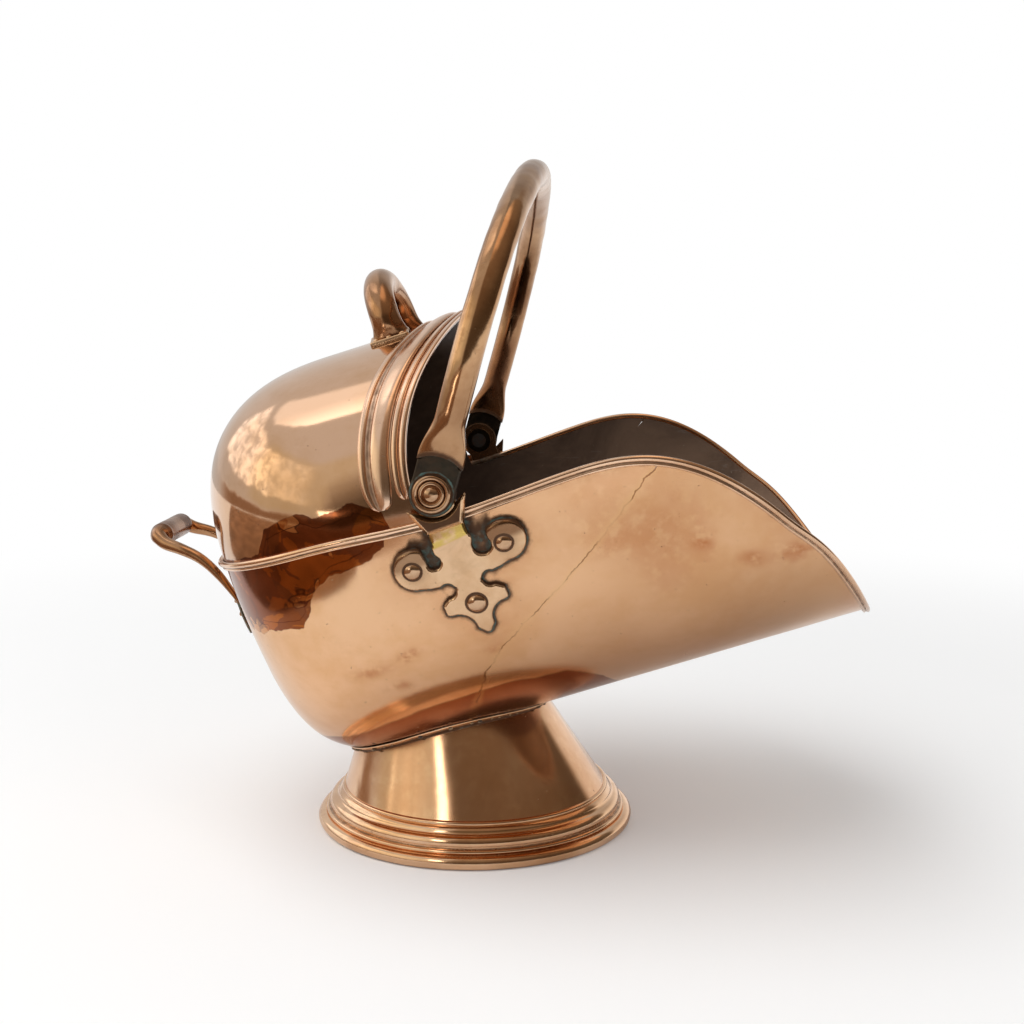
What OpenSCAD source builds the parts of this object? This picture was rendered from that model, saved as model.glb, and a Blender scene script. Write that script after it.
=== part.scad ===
// Helmet-shaped coal scuttle in sheet copper.
// +X points to the pouring lip, +Z is up, and the XZ plane is the mirror plane.
// The origin is the middle of the foot, on the floor.

/* [Body] */
// Outside radius of the round body
body_r = 147.4; // [147:0.1:148]
// Thickness of the copper sheet
sheet = 1.2; // [1:0.1:1.4]
// Climb of the body's axis towards the lip, in degrees
tilt = 17.6; // [17.2:0.1:18]
// Height of the body's axis above the middle of the foot
axis_z = 220.4; // [219.5:0.1:221]
// Reach of the pan and the hood behind the middle, along the body's axis
back_reach = 159; // [157:0.5:161]
// Where the pan and the hood begin to round off, behind the middle
round_start = 60; // [58:1:62]
// Height of the hood above the body's axis
hood_h = 101; // [100:0.5:102]

/* [Rim] */
// Where the rim leaves the side and begins to fall to the lip
rim_shoulder = 70; // [68:1:72]
// Reach of the lip along the body's axis
rim_reach = 209; // [206:1:212]
// How sharply the rim falls to the lip
rim_power = 2.65; // [2.5:0.05:2.8]
// Extra fullness of that fall, between its middle and the lip
rim_swell = 6.5; // [0:0.5:8]
// Height of the rim against the body's axis, beside the pivots
rim_v = -4; // [-4.4:0.2:-3.6]
// Height it rises to before it falls
rim_crest_v = -0.8; // [-1.2:0.2:0]
// Radius of the upper reed of the rim moulding, which holds the wire
reed_r = 1.45; // [1.4:0.05:1.5]
// Radius of the lower reed
reed_low_r = 1.15; // [1.05:0.05:1.2]
// Radius of the iron wire in the rim
rim_wire_r = 0.75; // [0.65:0.05:0.8]

/* [Hood mouth] */
// Radius of the hollow curve of the hood's mouth, seen from the side
mouth_r = 103.3; // [102:0.1:105]
// Where the deepest part of that curve lies behind the middle
mouth_deep = 24.6; // [24:0.1:25.2]
// Height of the deepest part
mouth_z = 258.7; // [257:0.1:260]

/* [Foot] */
// Outside radius of the foot
foot_r = 101.5; // [100:0.5:103]
// Radius of the cone where it meets the moulded base
cone_r = 84.5; // [84:0.5:85]
// How much the cone narrows for each millimetre of height
cone_taper = 0.486; // [0.47:0.002:0.5]
// How far the cone leans back for each millimetre of height
cone_lean = 0.19; // [0.18:0.01:0.2]
// Radius of the wired bead that the foot rests on
foot_bead_r = 4.3; // [4:0.1:4.5]

/* [Bail] */
// Where the bail turns, behind the middle
pivot_back = 9; // [8.6:0.1:9.4]
// Height of the bail's pivots
pivot_z = 231; // [230.5:0.1:231.5]
// Lean of the bail to the front, in degrees
bail_lean = 15.15; // [14:0.05:16]
// Diameter of the bail's tube
bail_d = 17.4; // [16.5:0.1:18]
// Height of the bail's crown above the pivots, to the middle of the tube
bail_h = 184.5; // [183:0.5:186]
// Half the width of the bail at its widest, to the middle of the tube
bail_half = 166; // [165:0.5:168]
// Radius of the bail's crown
bail_crown_r = 250; // [240:5:260]
// Radius of the bail's shoulders
bail_shoulder_r = 90; // [86:1:94]
// Diameter of the pivot pins
pin_d = 6; // [5.6:0.1:6.4]
// Clearance around the pins, on the radius
pin_gap = 0.08; // [0.05:0.01:0.1]

/* [Brackets] */
// Thickness of the brackets
bracket_t = 3; // [2.8:0.1:3.2]
// Radius of the round end of the tongue and of the eye behind it
eye_r = 12.5; // [12:0.1:12.6]
// Turn of the brackets against the body, in degrees
bracket_turn = 2.2; // [1:0.2:4]
// Radius of the rosettes
rosette_r = 10.3; // [10:0.1:10.6]

/* [Handles] */
// Height of the hood handle's crown above the body's axis
hood_handle_v = 143.5; // [142:0.5:145]
// Diameter of the hood handle
hood_handle_d = 18; // [17:0.5:19]
// Diameter of the back handle's grip
grip_d = 15; // [14:0.5:16]

/* [Hidden] */

$fn = 64;

copper = "#b87548";
brown_copper = "#9a6a48";
brass = "#b08d4f";
iron = "#4a4643";

left = 1;
right = -1;
big = 900;

// ---- The body's own frame: u runs along the axis to the lip, v stands up from it ----
module body_frame() {
    translate([0, 0, axis_z]) rotate([0, -tilt, 0]) children();
}

function unit(a) = a / norm(a);
function mix(a, b, t) = a + (b - a) * t;
function smooth(t) = let (k = min(1, max(0, t))) k * k * (3 - 2 * k);
function reversed(a) = [for (i = [len(a) - 1 : -1 : 0]) a[i]];

// A superellipse: the other coordinate for t, both as parts of their own reach
function rounded(t, power) = pow(max(0, 1 - pow(abs(t), power)), 1 / power);

// ---- Skins over rings of points ----
// Every ring has the same number of points. Open skins are capped at both ends.
module skin(rings, closed = false) {
    n = len(rings[0]);
    m = len(rings);
    last = closed ? m - 1 : m - 2;
    points = [for (ring = rings) each ring];
    sides = [
        for (i = [0 : last], k = [0 : n - 1])
        let (a = i * n, b = ((i + 1) % m) * n, j = (k + 1) % n)
        each [[a + k, b + k, b + j], [a + k, b + j, a + j]]
    ];
    caps = closed ? [] : [
        [for (k = [0 : n - 1]) k],
        [for (k = [n - 1 : -1 : 0]) (m - 1) * n + k]
    ];
    polyhedron(points = points, faces = concat(sides, caps), convexity = 6);
}

// One ring of a bar: an oval across the path, squarer as its power rises over 2
function swell(t, power) = sign(t) * pow(abs(t), 2 / power);
function oval_ring(at, side, up, wide, thick, n = 12, power = 2) = [
    for (k = [0 : n - 1]) let (a = 360 * k / n)
    at + side * (wide / 2 * swell(cos(a), power)) + up * (thick / 2 * swell(sin(a), power))
];

// ---- Arches of three arcs in the YZ plane: a flat crown and two tighter shoulders ----
// Each is [half width, height, shoulder radius, crown radius, how far the arcs pass level]
function arch_turn(a) = asin((a[0] - a[2]) / (a[3] - a[2]));
function arch_shoulder(a) = [a[0] - a[2], a[1] - a[3] + (a[3] - a[2]) * cos(arch_turn(a))];
// Points along the left half, from the foot of the shoulder to the crown: [y, z, turn]
function arch_half(a, n) = concat(
    [
        for (i = [0 : n]) let (t = mix(-a[4], 90 - arch_turn(a), i / n), c = arch_shoulder(a))
        [c[0] + a[2] * cos(t), c[1] + a[2] * sin(t), t]
    ],
    [
        for (i = [1 : 3]) let (t = mix(90 - arch_turn(a), 90, i / 3.5))
        [a[3] * cos(t), a[1] - a[3] + a[3] * sin(t), t]
    ]
);
// Rings for [y, z, turn, wide, thick, power] stops on the left, and their mirror images
function arch_rings(stops, n) = concat(
    [for (s = stops) arch_ring(s, 1, n)],
    [for (s = reversed(stops)) arch_ring(s, -1, n)]
);
function arch_ring(s, side, n) =
    oval_ring([0, side * s[0], s[1]], [1, 0, 0], [0, side * cos(s[2]), sin(s[2])], s[3], s[4], n, s[5]);

// ---- The rounded back of the body ----
// The pan and the hood round off towards the back with these powers, in plan and in height
plan_power = 2.2;
pan_power = 3.96;
hood_power = 2.57;
arch_power = 2.4;
round_len = back_reach - round_start;

// Height of the waist seam over the body's axis, which rises a little to the back
waist_back_v = 1;
function waist_v(u) = mix(rim_v, waist_back_v, smooth((-u - 6) / 80));

stations = 14;
slices = 24;
function station_angle(i) = 88.6 * i / stations;

// Where the straight part of both skins has its rings, from the front
straight_stops = [-6, -24, -42];

// Rings of the pan: half rounds across the body, from the front ring to the back
function pan_rings(front_u, gap) = concat(
    [for (u = [front_u, 40]) pan_ring(u, body_r + gap, body_r + gap, 5)],
    [for (u = straight_stops) pan_ring(u, body_r + gap, body_r + gap, waist_v(u))],
    [
        for (i = [0 : stations])
        let (t = pow(sin(station_angle(i)), 2 / pan_power), u = -round_start - (round_len + gap) * t)
        pan_ring(
            u,
            (body_r + gap) * rounded(t, plan_power),
            (body_r + gap) * rounded(t, pan_power),
            waist_v(u)
        )
    ]
);
function pan_ring(u, wide, deep, high) =
    let (top = asin(max(-0.9, min(0.9, -high / deep))))
    [
        for (k = [0 : slices]) let (a = mix(top, 180 - top, k / slices))
        [u, wide * cos(a), -deep * sin(a)]
    ];

// Rings of the hood, from the front ring to the back
function hood_rings(front_u, gap) = concat(
    [for (u = concat([front_u], straight_stops)) hood_ring(u, body_r + gap, hood_h + gap)],
    [
        for (i = [0 : stations])
        let (t = pow(sin(station_angle(i)), 2 / hood_power))
        hood_ring(
            -round_start - (round_len + gap) * t,
            (body_r + gap) * rounded(t, plan_power),
            (hood_h + gap) * rounded(t, hood_power)
        )
    ]
);
function hood_ring(u, wide, high) =
    let (s = max(-0.9, min(0.9, waist_v(u) / high)), low = sign(s) * asin(pow(abs(s), arch_power / 2)))
    [
        for (k = [0 : slices]) let (a = mix(180 - low, low, k / slices))
        [u, hood_y(a, wide), hood_z(a, high)]
    ];
function hood_y(a, wide) = sign(cos(a)) * wide * pow(abs(cos(a)), 2 / arch_power);
function hood_z(a, high) = sign(sin(a)) * high * pow(abs(sin(a)), 2 / arch_power);

// The seam between the back pan and the front sheet, seen from the side, top first
seam_line = [[150, 293], [104, 238.5], [70, 191], [27.4, 141.8], [17, 124], [10, 105], [-10, 30]];
module behind_seam() {
    rotate([90, 0, 0]) linear_extrude(height = big, center = true)
        polygon(concat(seam_line, [[-big, 30], [-big, 293]]));
}

// ---- The rim, which falls from the sides to the lip ----
rim_len = rim_reach - rim_shoulder;
rim_drop = body_r + rim_v;
swell_start = 0.7;
function rim_height(u) =
    mix(waist_v(u), rim_crest_v, smooth((u + 6) / 85))
    - (rim_drop + rim_crest_v - rim_v) * pow(max(0, u - rim_shoulder) / rim_len, rim_power)
    + rim_swell * pow(sin(180 * max(0, (u - rim_shoulder) / rim_len - swell_start) / (1 - swell_start)), 2);

rim_steps = 26;
// Points of the falling rim on one side, close together at the lip
function rim_point(i, side) =
    let (
        t = 1 - pow(1 - i / rim_steps, 2),
        u = rim_shoulder + rim_len * t,
        v = rim_height(u),
        y = sqrt(max(0, pow(body_r, 2) - v * v))
    )
    [u, side * y, v];

// Everything below the rim's curve, from behind the pivots to the lip
scoop_back = -60;
module under_rim() {
    crest = [
        for (i = [0 : 44]) let (u = mix(-6, rim_reach + 1, i / 44)) [u, rim_height(u)]
    ];
    body_frame() rotate([90, 0, 0]) linear_extrude(height = big, center = true)
        polygon(concat([[-big, -200], [rim_reach + 1, -200]], reversed(crest), [[-20, 60], [-big, 60]]));
}

// ==== Front sheet: a rolled half round, cut to the rim's curve ====
module scoop_sheet() {
    color(copper) difference() {
        intersection() {
            body_frame() rotate([0, 90, 0]) translate([0, 0, scoop_back]) difference() {
                cylinder(r = body_r, h = 300, $fn = 180);
                translate([0, 0, -1]) cylinder(r = body_r - sheet, h = 302, $fn = 180);
            }
            under_rim();
        }
        behind_seam();
    }
}

// ==== Back pan: raised to a round back, open at the top and at the front seam ====
module back_pan() {
    color(copper) intersection() {
        body_frame() difference() {
            skin(pan_rings(160, 0));
            translate([0, 0, 0.01]) skin(pan_rings(161, -sheet));
        }
        under_rim();
        behind_seam();
    }
}

// ==== The rim's path ====
// It follows the waist round the back and the falling rim to the lip. Each entry is
// a point in the body's frame and the way out from the sheet there.
back_steps = 30;
side_stops = [52, 34, 16, 0, -17, -38];
function side_entry(u, side) =
    let (v = rim_height(u), y = sqrt(pow(body_r, 2) - v * v))
    [[u, side * y, v], [0, side * y, v] / body_r];
function rim_entry(i, side) =
    let (p = rim_point(i, side)) [p, unit([0, p[1], p[2]])];
function back_entry(i) =
    let (
        a = mix(-90, 90, i / back_steps),
        along = pow(cos(a), 2 / plan_power),
        across = sign(a) * pow(abs(sin(a)), 2 / plan_power),
        u = -round_start - round_len * along
    )
    [
        [u, body_r * across, waist_v(u)],
        unit([
            -pow(along, plan_power - 1) / round_len,
            sign(a) * pow(abs(across), plan_power - 1) / body_r,
            0
        ])
    ];
rim_path = concat(
    [for (i = [0 : rim_steps]) rim_entry(i, left)],
    [for (i = [rim_steps - 1 : -1 : 0]) rim_entry(i, right)],
    [for (u = side_stops) side_entry(u, right)],
    [for (i = [0 : back_steps]) back_entry(i)],
    [for (u = reversed(side_stops)) side_entry(u, left)]
);

// The upper reed sits on the sheet's edge at the rim, and outside the hood round the waist
function reed_out(u) = mix(reed_r + 0.05, 0.45, smooth((u + 17) / 16));
reed_up = reed_r + 0.05;

// The moulding stands this far off the sheets, so that its chords don't cut into their curves
rim_off = 0.15;
// Puts a section of [outward, upward] points at every entry of the rim's path
function rim_rings(section) = [
    for (i = [0 : len(rim_path) - 1])
    let (
        n = len(rim_path),
        along = unit(rim_path[(i + 1) % n][0] - rim_path[(i + n - 1) % n][0]),
        out = rim_path[i][1],
        up = unit(cross(along, out)),
        shift = reed_out(rim_path[i][0][0])
    )
    [for (s = section) rim_path[i][0] + out * (s[0] + rim_off + s[2] * shift) + up * s[1]]
];

// Each section point is [outward, upward, share of the upper reed's shift]
moulding_section = concat(
    [[0.02, -2.2, 0]],
    [for (a = [-110, -55, 0, 45]) [reed_low_r * (1 + cos(a)), -1.1 + reed_low_r * sin(a), 0]],
    [for (a = [-50, 0, 45, 90, 135, 180, 225]) [reed_r * cos(a), reed_up + reed_r * sin(a), 1]],
    [[0.02, 0.02, 0]]
);
function wire_section(r) = [for (a = [0 : 60 : 300]) [r * cos(a), reed_up + r * sin(a), 1]];

module rim_moulding() {
    color(copper) body_frame() difference() {
        skin(rim_rings(moulding_section), closed = true);
        skin(rim_rings(wire_section(rim_wire_r + 0.05)), closed = true);
    }
}
module rim_wire() {
    color(iron) body_frame() skin(rim_rings(wire_section(rim_wire_r)), closed = true);
}

// ==== Hood: a raised half dome, its mouth cut to a hollow curve ====
mouth_x = mouth_r - mouth_deep;
module hood_shell() {
    color(copper) difference() {
        body_frame() difference() {
            skin(hood_rings(45, 0));
            translate([0, 0, -0.01]) skin(hood_rings(46, -sheet));
        }
        translate([mouth_x, 0, mouth_z]) rotate([90, 0, 0])
            cylinder(r = mouth_r, h = big, center = true, $fn = 240);
    }
}

// The mouldings are lifted off the hood, so that their chords don't cut into its curve
mouth_off = 0.12;
// A point of the hood at the arch angle a, set back from the mouth, and lifted off the sheet.
// The mouldings draw together over the top.
top_share = 0.75;
function mouth_point(a, set_back, lift) =
    let (
        back = set_back * mix(1, top_share, smooth((50 - abs(a - 90)) / 50)),
        y = hood_y(a, body_r + lift),
        v = hood_z(a, hood_h + lift),
        from = [-v * sin(tilt) - mouth_x, axis_z + v * cos(tilt) - mouth_z],
        way = [cos(tilt), sin(tilt)],
        reach = mouth_r + back,
        half = from * way,
        u = -half - sqrt(half * half - from * from + reach * reach)
    )
    [u, y, v];

// Mouldings round the mouth run between the same two arch angles on both sides
mouth_steps = 40;
function mouth_rings(section, low, taper) = [
    for (i = [0 : mouth_steps])
    let (
        a = mix(low, 180 - low, i / mouth_steps),
        end = min(i, mouth_steps - i) / taper,
        size = end >= 1 ? 1 : 0.35 + 0.65 * sqrt(1 - pow(1 - end, 2)),
        middle = (section[0][0] + section[len(section) - 1][0]) / 2
    )
    [for (s = section) mouth_point(a, middle + (s[0] - middle) * size, mouth_off + s[1] * size)]
];
function hump(from, to, high, n, low = 0) = [
    for (k = [0 : n]) let (a = 180 - 180 * k / n)
    [(from + to) / 2 + (to - from) / 2 * cos(a), max(low, high * sin(a))]
];

module hood_cushion() {
    color(copper) body_frame() skin(mouth_rings(
        concat([[9.4, 0]], hump(9.5, 20.2, 2.7, 6, 0.7), [[22.4, 0.7]], hump(22.6, 26.8, 1.7, 4, 0.7), [[26.9, 0]]), 4, 3));
}
module hood_edge_bead() {
    color(copper) body_frame() skin(mouth_rings(
        concat([[0, 0]], hump(0.1, 4.3, 2.6, 6, 0.6), hump(4.5, 8.6, 2, 5, 0.6), [[8.7, 0]]), 5, 1.5));
}

// ==== Foot ====
base_top = 23;
function cone_radius(z) = cone_r - cone_taper * (z - base_top);
module cone_solid(gap) {
    high = 80;
    multmatrix([
        [1, 0, -cone_lean, 0],
        [0, 1, 0, 0],
        [0, 0, 1, base_top],
        [0, 0, 0, 1]
    ]) cylinder(r1 = cone_r + gap, r2 = cone_radius(base_top + high) + gap, h = high, $fn = 128);
}
// The cone's top edge is turned out into a lip that lies along the body's underside
lip_t = 1.3;
lip_w = 5;
module round_body(gap) {
    body_frame() rotate([0, 90, 0]) cylinder(r = body_r + gap, h = 360, center = true, $fn = 180);
}
module foot_cone() {
    color(copper) difference() {
        union() {
            difference() {
                cone_solid(0);
                round_body(lip_t - 0.1);
            }
            intersection() {
                cone_solid(lip_w);
                round_body(lip_t);
            }
        }
        translate([0, 0, -0.01]) cone_solid(-sheet);
        round_body(0.02);
    }
}

// The moulded base as a line of [radius, height] points, from the bead up to the cone
bead_z = foot_bead_r - 0.4;
bead_at = foot_r - foot_bead_r;
function arc(c, r, from, to, n) = [
    for (k = [0 : n]) let (a = mix(from, to, k / n)) c + r * [cos(a), sin(a)]
];
base_line = concat(
    [[bead_at - 2.2, 7.2]],
    arc([bead_at - 2.4, 9.3], 1.5, -60, 90, 6),
    [[bead_at - 3.4, 11.2]],
    arc([bead_at - 7.8, 13.4], 4.6, -15, 70, 8),
    arc([bead_at - 5.8, 20.8], 3.4, -115, -165, 4),
    arc([cone_r - 0.1, base_top + 0.2], 1.6, -50, 90, 7)
);
function line_out(line, i) =
    let (d = unit(line[min(i + 1, len(line) - 1)] - line[max(i - 1, 0)])) [d[1], -d[0]];
function line_band(line, thick) = concat(
    line,
    [for (i = [len(line) - 1 : -1 : 0]) line[i] - line_out(line, i) * thick]
);
module foot_base() {
    color(copper) rotate_extrude($fn = 128) {
        polygon(line_band(base_line, sheet));
        difference() {
            translate([bead_at, bead_z]) circle(r = foot_bead_r, $fn = 32);
            translate([bead_at, bead_z]) circle(r = foot_bead_r - sheet, $fn = 32);
            translate([0, -10]) square([2 * foot_r, 10]);
        }
    }
}
module foot_wire() {
    color(iron) rotate_extrude($fn = 128) translate([bead_at, bead_z])
        circle(r = foot_bead_r - sheet - 0.05, $fn = 32);
}

// ==== Brackets, pins and rosettes ====
// Heights out from the mirror plane at the pivots
washer_y = 147.7;
lug_y = 150.6;
tongue_y = lug_y + bracket_t + 0.3;
tongue_t = 4.3;
rosette_y = tongue_y + tongue_t + 0.3;
pin_end_y = rosette_y + 1.6;

pivot_u = -pivot_back * cos(tilt) + (pivot_z - axis_z) * sin(tilt);
pivot_v = pivot_back * sin(tilt) + (pivot_z - axis_z) * cos(tilt);

// Stands a flat outline on its side, from y0 to y1, on the left or on the right
module side_plate(side, y0, y1) {
    mirror([0, side < 0 ? 1 : 0, 0]) translate([0, y1, 0]) rotate([90, 0, 0])
        linear_extrude(height = y1 - y0) children();
}
module at_pivot() {
    body_frame() translate([pivot_u, 0, pivot_v]) rotate([0, -bracket_turn, 0]) children();
}

lobe_x = 25.8;
lobe_shift = 1.4;
lobe_y = -37;
lobe_r = 11.8;
shield_y = -65.5;
tip_y = -84;
neck_w = 20.6;

module bracket_outline() {
    difference() {
        union() {
            circle(r = eye_r);
            translate([-neck_w / 2, -30]) square([neck_w, 24]);
            polygon([
                [-neck_w / 2, -27], [neck_w / 2, -27], [neck_w / 2 + 4, -33], [lobe_x, lobe_y - lobe_r],
                [7, -54], [7, -60], [-7, -60], [-7, -54], [-lobe_x, lobe_y - lobe_r], [-neck_w / 2 - 4, -33]
            ]);
            for (s = [-1, 1]) translate([s * lobe_x + lobe_shift, lobe_y]) circle(r = lobe_r);
            polygon([[-7, -54], [7, -54], [18, -62], [18, -68], [2, tip_y], [-2, tip_y], [-18, -68], [-18, -62]]);
            translate([0, tip_y + 0.8]) circle(r = 2.2);
        }
        for (s = [-1, 1]) {
            // hooks beside the neck
            translate([s * 13.4, -36.6]) circle(r = 3.5);
            translate([s * 14.6, -28.5]) rotate(s * -6) square([5.2, 16], center = true);
            // bites between the side lobes and the shield
            translate([s * 12.2, -54.6]) circle(r = 4.3);
            translate([s * 17.6, -55.2]) circle(r = 4.4);
            // hollow sides of the tip
            translate([s * 15.2, -79.5]) circle(r = 10.2);
        }
    }
}
// The shoulders beside the eye lie just clear of the tongue's edges at both ends of its travel
tongue_w = 24;
stop_turn = 61.6;
stop_out = 19;
module stop_outline() {
    difference() {
        polygon([
            [-neck_w / 2, -18.5], [neck_w / 2, -18.5], [16.6, -4.9], [16, 0], [-16, 0], [-16.6, -4.9]
        ]);
        circle(r = eye_r + 0.7);
        for (s = [-1, 1]) mirror([s < 0 ? 1 : 0, 0]) rotate(-stop_turn)
            translate([-tongue_w, 0]) square([1.5 * tongue_w, stop_out]);
    }
}
// The bend of the plate, as [out, up] points: round the body, over the rim, up beside the eye
function bend_line(extra) = concat(
    [
        for (a = [33 : -3.4 : 9])
        [(body_r + 0.06 + extra) * cos(a), -(body_r + 0.06 + extra) * sin(a)]
    ],
    [[lug_y + extra, -13 - extra * 0.3], [lug_y + extra, 40]]
);
module bracket(side) {
    color(brass) {
        difference() {
            intersection() {
                at_pivot() side_plate(side, 110, 165) bracket_outline();
                body_frame() mirror([0, side < 0 ? 1 : 0, 0]) rotate([90, 0, 90])
                    linear_extrude(height = 120, center = true)
                        polygon(concat(bend_line(0), reversed(bend_line(bracket_t))));
            }
            at_pivot() side_plate(side, 110, 165) circle(d = pin_d);
            bracket_rivet_holes(side);
        }
        intersection() {
            at_pivot() side_plate(side, lug_y + bracket_t - 0.5, tongue_y + tongue_t) stop_outline();
            at_pivot() mirror([0, side < 0 ? 1 : 0, 0]) rotate([90, 0, 90])
                linear_extrude(height = 60, center = true)
                    polygon([
                        [lug_y, -22], [lug_y + bracket_t, -20], [tongue_y + tongue_t, -11],
                        [tongue_y + tongue_t, 0], [lug_y, 0]
                    ]);
        }
    }
}
rivet_d = 3.4;
rivet_spots = [[-25.6, -36.4, 4.5], [26.4, -37.4, 4.5], [0, -65.8, 5.2]];
// Puts its children on the bracket at one rivet, with z pointing out from the body
module at_rivet(spot, side) {
    c = cos(bracket_turn);
    s = sin(bracket_turn);
    u = pivot_u + spot[0] * c - spot[1] * s;
    v = pivot_v + spot[0] * s + spot[1] * c;
    body_frame() mirror([0, side < 0 ? 1 : 0, 0]) translate([u, 0, 0])
        rotate([-90 - asin(v / body_r) * -1, 0, 0]) translate([0, 0, body_r]) children();
}
module bracket_rivet_holes(side) {
    for (spot = rivet_spots) at_rivet(spot, side) translate([0, 0, -5]) cylinder(d = rivet_d, h = 15);
}
module dome(r, high) {
    ball = (r * r + high * high) / (2 * high);
    intersection() {
        translate([0, 0, high - ball]) sphere(r = ball);
        cylinder(r = r + 1, h = high + 1);
    }
}
module bracket_rivets(side) {
    color(brass) for (spot = rivet_spots) at_rivet(spot, side) {
        translate([0, 0, bracket_t + 0.1]) dome(spot[2], 2.6);
        translate([0, 0, -sheet - 0.3]) cylinder(d = rivet_d, h = bracket_t + sheet + 0.6);
        translate([0, 0, -sheet - 0.1]) mirror([0, 0, 1]) dome(3, 1.2);
    }
}
module pivot_pin(side) {
    color(iron) at_pivot() {
        side_plate(side, washer_y - 1.6, pin_end_y) circle(d = pin_d);
        side_plate(side, washer_y - 1.6, washer_y) circle(r = 5);
    }
}
module inner_washer(side) {
    color(brown_copper) at_pivot() side_plate(side, washer_y, lug_y) difference() {
        circle(r = 8.4);
        circle(d = pin_d);
    }
}
// Rings and a dome turned on the rosette's face, as [radius, height] points
rosette_profile = concat(
    [[0, 0], [rosette_r, 0], [rosette_r, 1]],
    arc([rosette_r - 1.6, 1], 1.6, 0, 150, 6),
    [[7.1, 1.2]],
    arc([5.9, 1.9], 1.1, -10, 170, 6),
    [[4.4, 1.8]],
    [for (a = [0 : 15 : 90]) [4.3 * cos(a), 2 + 3.2 * sin(a)]]
);
module rosette(side) {
    color(brass) at_pivot() mirror([0, side < 0 ? 1 : 0, 0]) translate([0, rosette_y, 0])
        rotate([-90, 0, 0]) difference() {
            rotate_extrude() polygon(rosette_profile);
            translate([0, 0, -1]) cylinder(d = pin_d, h = 1 + pin_end_y - rosette_y);
        }
}

// ==== Bail ====
bail_arch = [bail_half, bail_h, bail_shoulder_r, bail_crown_r, 7.4];
leg_foot = arch_half(bail_arch, 8)[0];
sheath_w = 25.4;
sheath_t = 8.6;
sheath_round = 44;
sheath_full = 21;
sheath_gap_r = 20.5;
tang_w = 15;
tang_top = 44;
tongue_mid_y = tongue_y + tongue_t / 2;

module bail_frame() {
    translate([-pivot_back, 0, pivot_z]) rotate([0, bail_lean, 0]) children();
}
// The leg splays from the tongue to the arch, and is flattened into a sheath at its end
function leg_stop(s, wall) =
    let (
        t = smooth((s - sheath_full) / (sheath_round - sheath_full)),
        straight = leg_foot[0] - (leg_foot[1] - s) * tan(bail_arch[4])
    )
    [
        mix(tongue_mid_y, straight, smooth((s - sheath_full + 8) / 34)),
        s,
        -bail_arch[4] * smooth((s - sheath_full) / 20),
        mix(sheath_w, bail_d, t) - 2 * wall,
        mix(sheath_t, bail_d, t) - 2 * wall,
        mix(3.4, 2, t)
    ];
function bail_stops(from, wall) = concat(
    [for (s = from) leg_stop(s, wall)],
    [for (p = arch_half(bail_arch, 8)) [p[0], p[1], p[2], bail_d - 2 * wall, bail_d - 2 * wall, 2]]
);
module bail_tube() {
    color(brown_copper) bail_frame() difference() {
        skin(arch_rings(bail_stops([4, sheath_full, 25, 30, 35, 40, sheath_round, 54], 0), 16));
        skin(arch_rings(bail_stops([47, 54], sheet), 12));
        for (side = [left, right]) mirror([0, side < 0 ? 1 : 0, 0]) {
            // the end is cut clear of the eye, and slotted for the tongue
            rotate([-90, 0, 0]) cylinder(r = sheath_gap_r, h = big, $fn = 96);
            translate([-tang_w / 2, tongue_y - 0.02, 0])
                cube([tang_w, tongue_t + 0.04, tang_top + 2]);
        }
    }
}
module bail_tongue(side) {
    color(brown_copper) bail_frame() side_plate(side, tongue_y, tongue_y + tongue_t) difference() {
        union() {
            circle(r = eye_r);
            intersection() {
                translate([-tongue_w / 2, 0]) square([tongue_w, 21]);
                circle(r = sheath_gap_r - 0.02);
            }
            translate([-tang_w / 2, 0]) square([tang_w, tang_top]);
        }
        circle(d = pin_d + 2 * pin_gap);
    }
}

// ==== Hood handle ====
hood_handle_u = -16;
hood_handle_lean = 3;
hood_handle_arch = [41, hood_handle_v - hood_handle_d / 2, 24, 60, 0];
foot_plate_y = 46.5;
foot_plate_v = 99.2;
foot_plate_turn = 9;
plate_w = 24;
plate_t = 2.4;
module hood_handle_frame() {
    body_frame() translate([hood_handle_u, 0, 0]) children();
}
module hood_handle() {
    d = hood_handle_d;
    stops = concat(
        [[43.6, foot_plate_v + 0.8, 14, 23.4, 9, 3], [42.2, foot_plate_v + 3.4, 6, 21, 12.5, 2.4]],
        [for (p = arch_half(hood_handle_arch, 8)) [p[0], p[1], p[2], d, d, 2]]
    );
    color(brown_copper) hood_handle_frame() {
        translate([0, 0, foot_plate_v]) rotate([0, -hood_handle_lean, 0])
            translate([0, 0, -foot_plate_v]) skin(arch_rings(stops, 16));
        for (s = [0, 1]) mirror([0, s, 0]) foot_plate()
            cube([plate_w, 13, plate_t], center = true);
    }
}
module foot_plate() {
    translate([-0.6, foot_plate_y, foot_plate_v + plate_t / 2]) rotate([-foot_plate_turn, 0, 0]) children();
}
module hood_handle_rivets() {
    color(brass) hood_handle_frame() for (s = [0, 1], x = [-8, 0, 8]) mirror([0, s, 0])
        foot_plate() translate([x, 4, plate_t / 2]) dome(1.7, 0.9);
}

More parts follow.
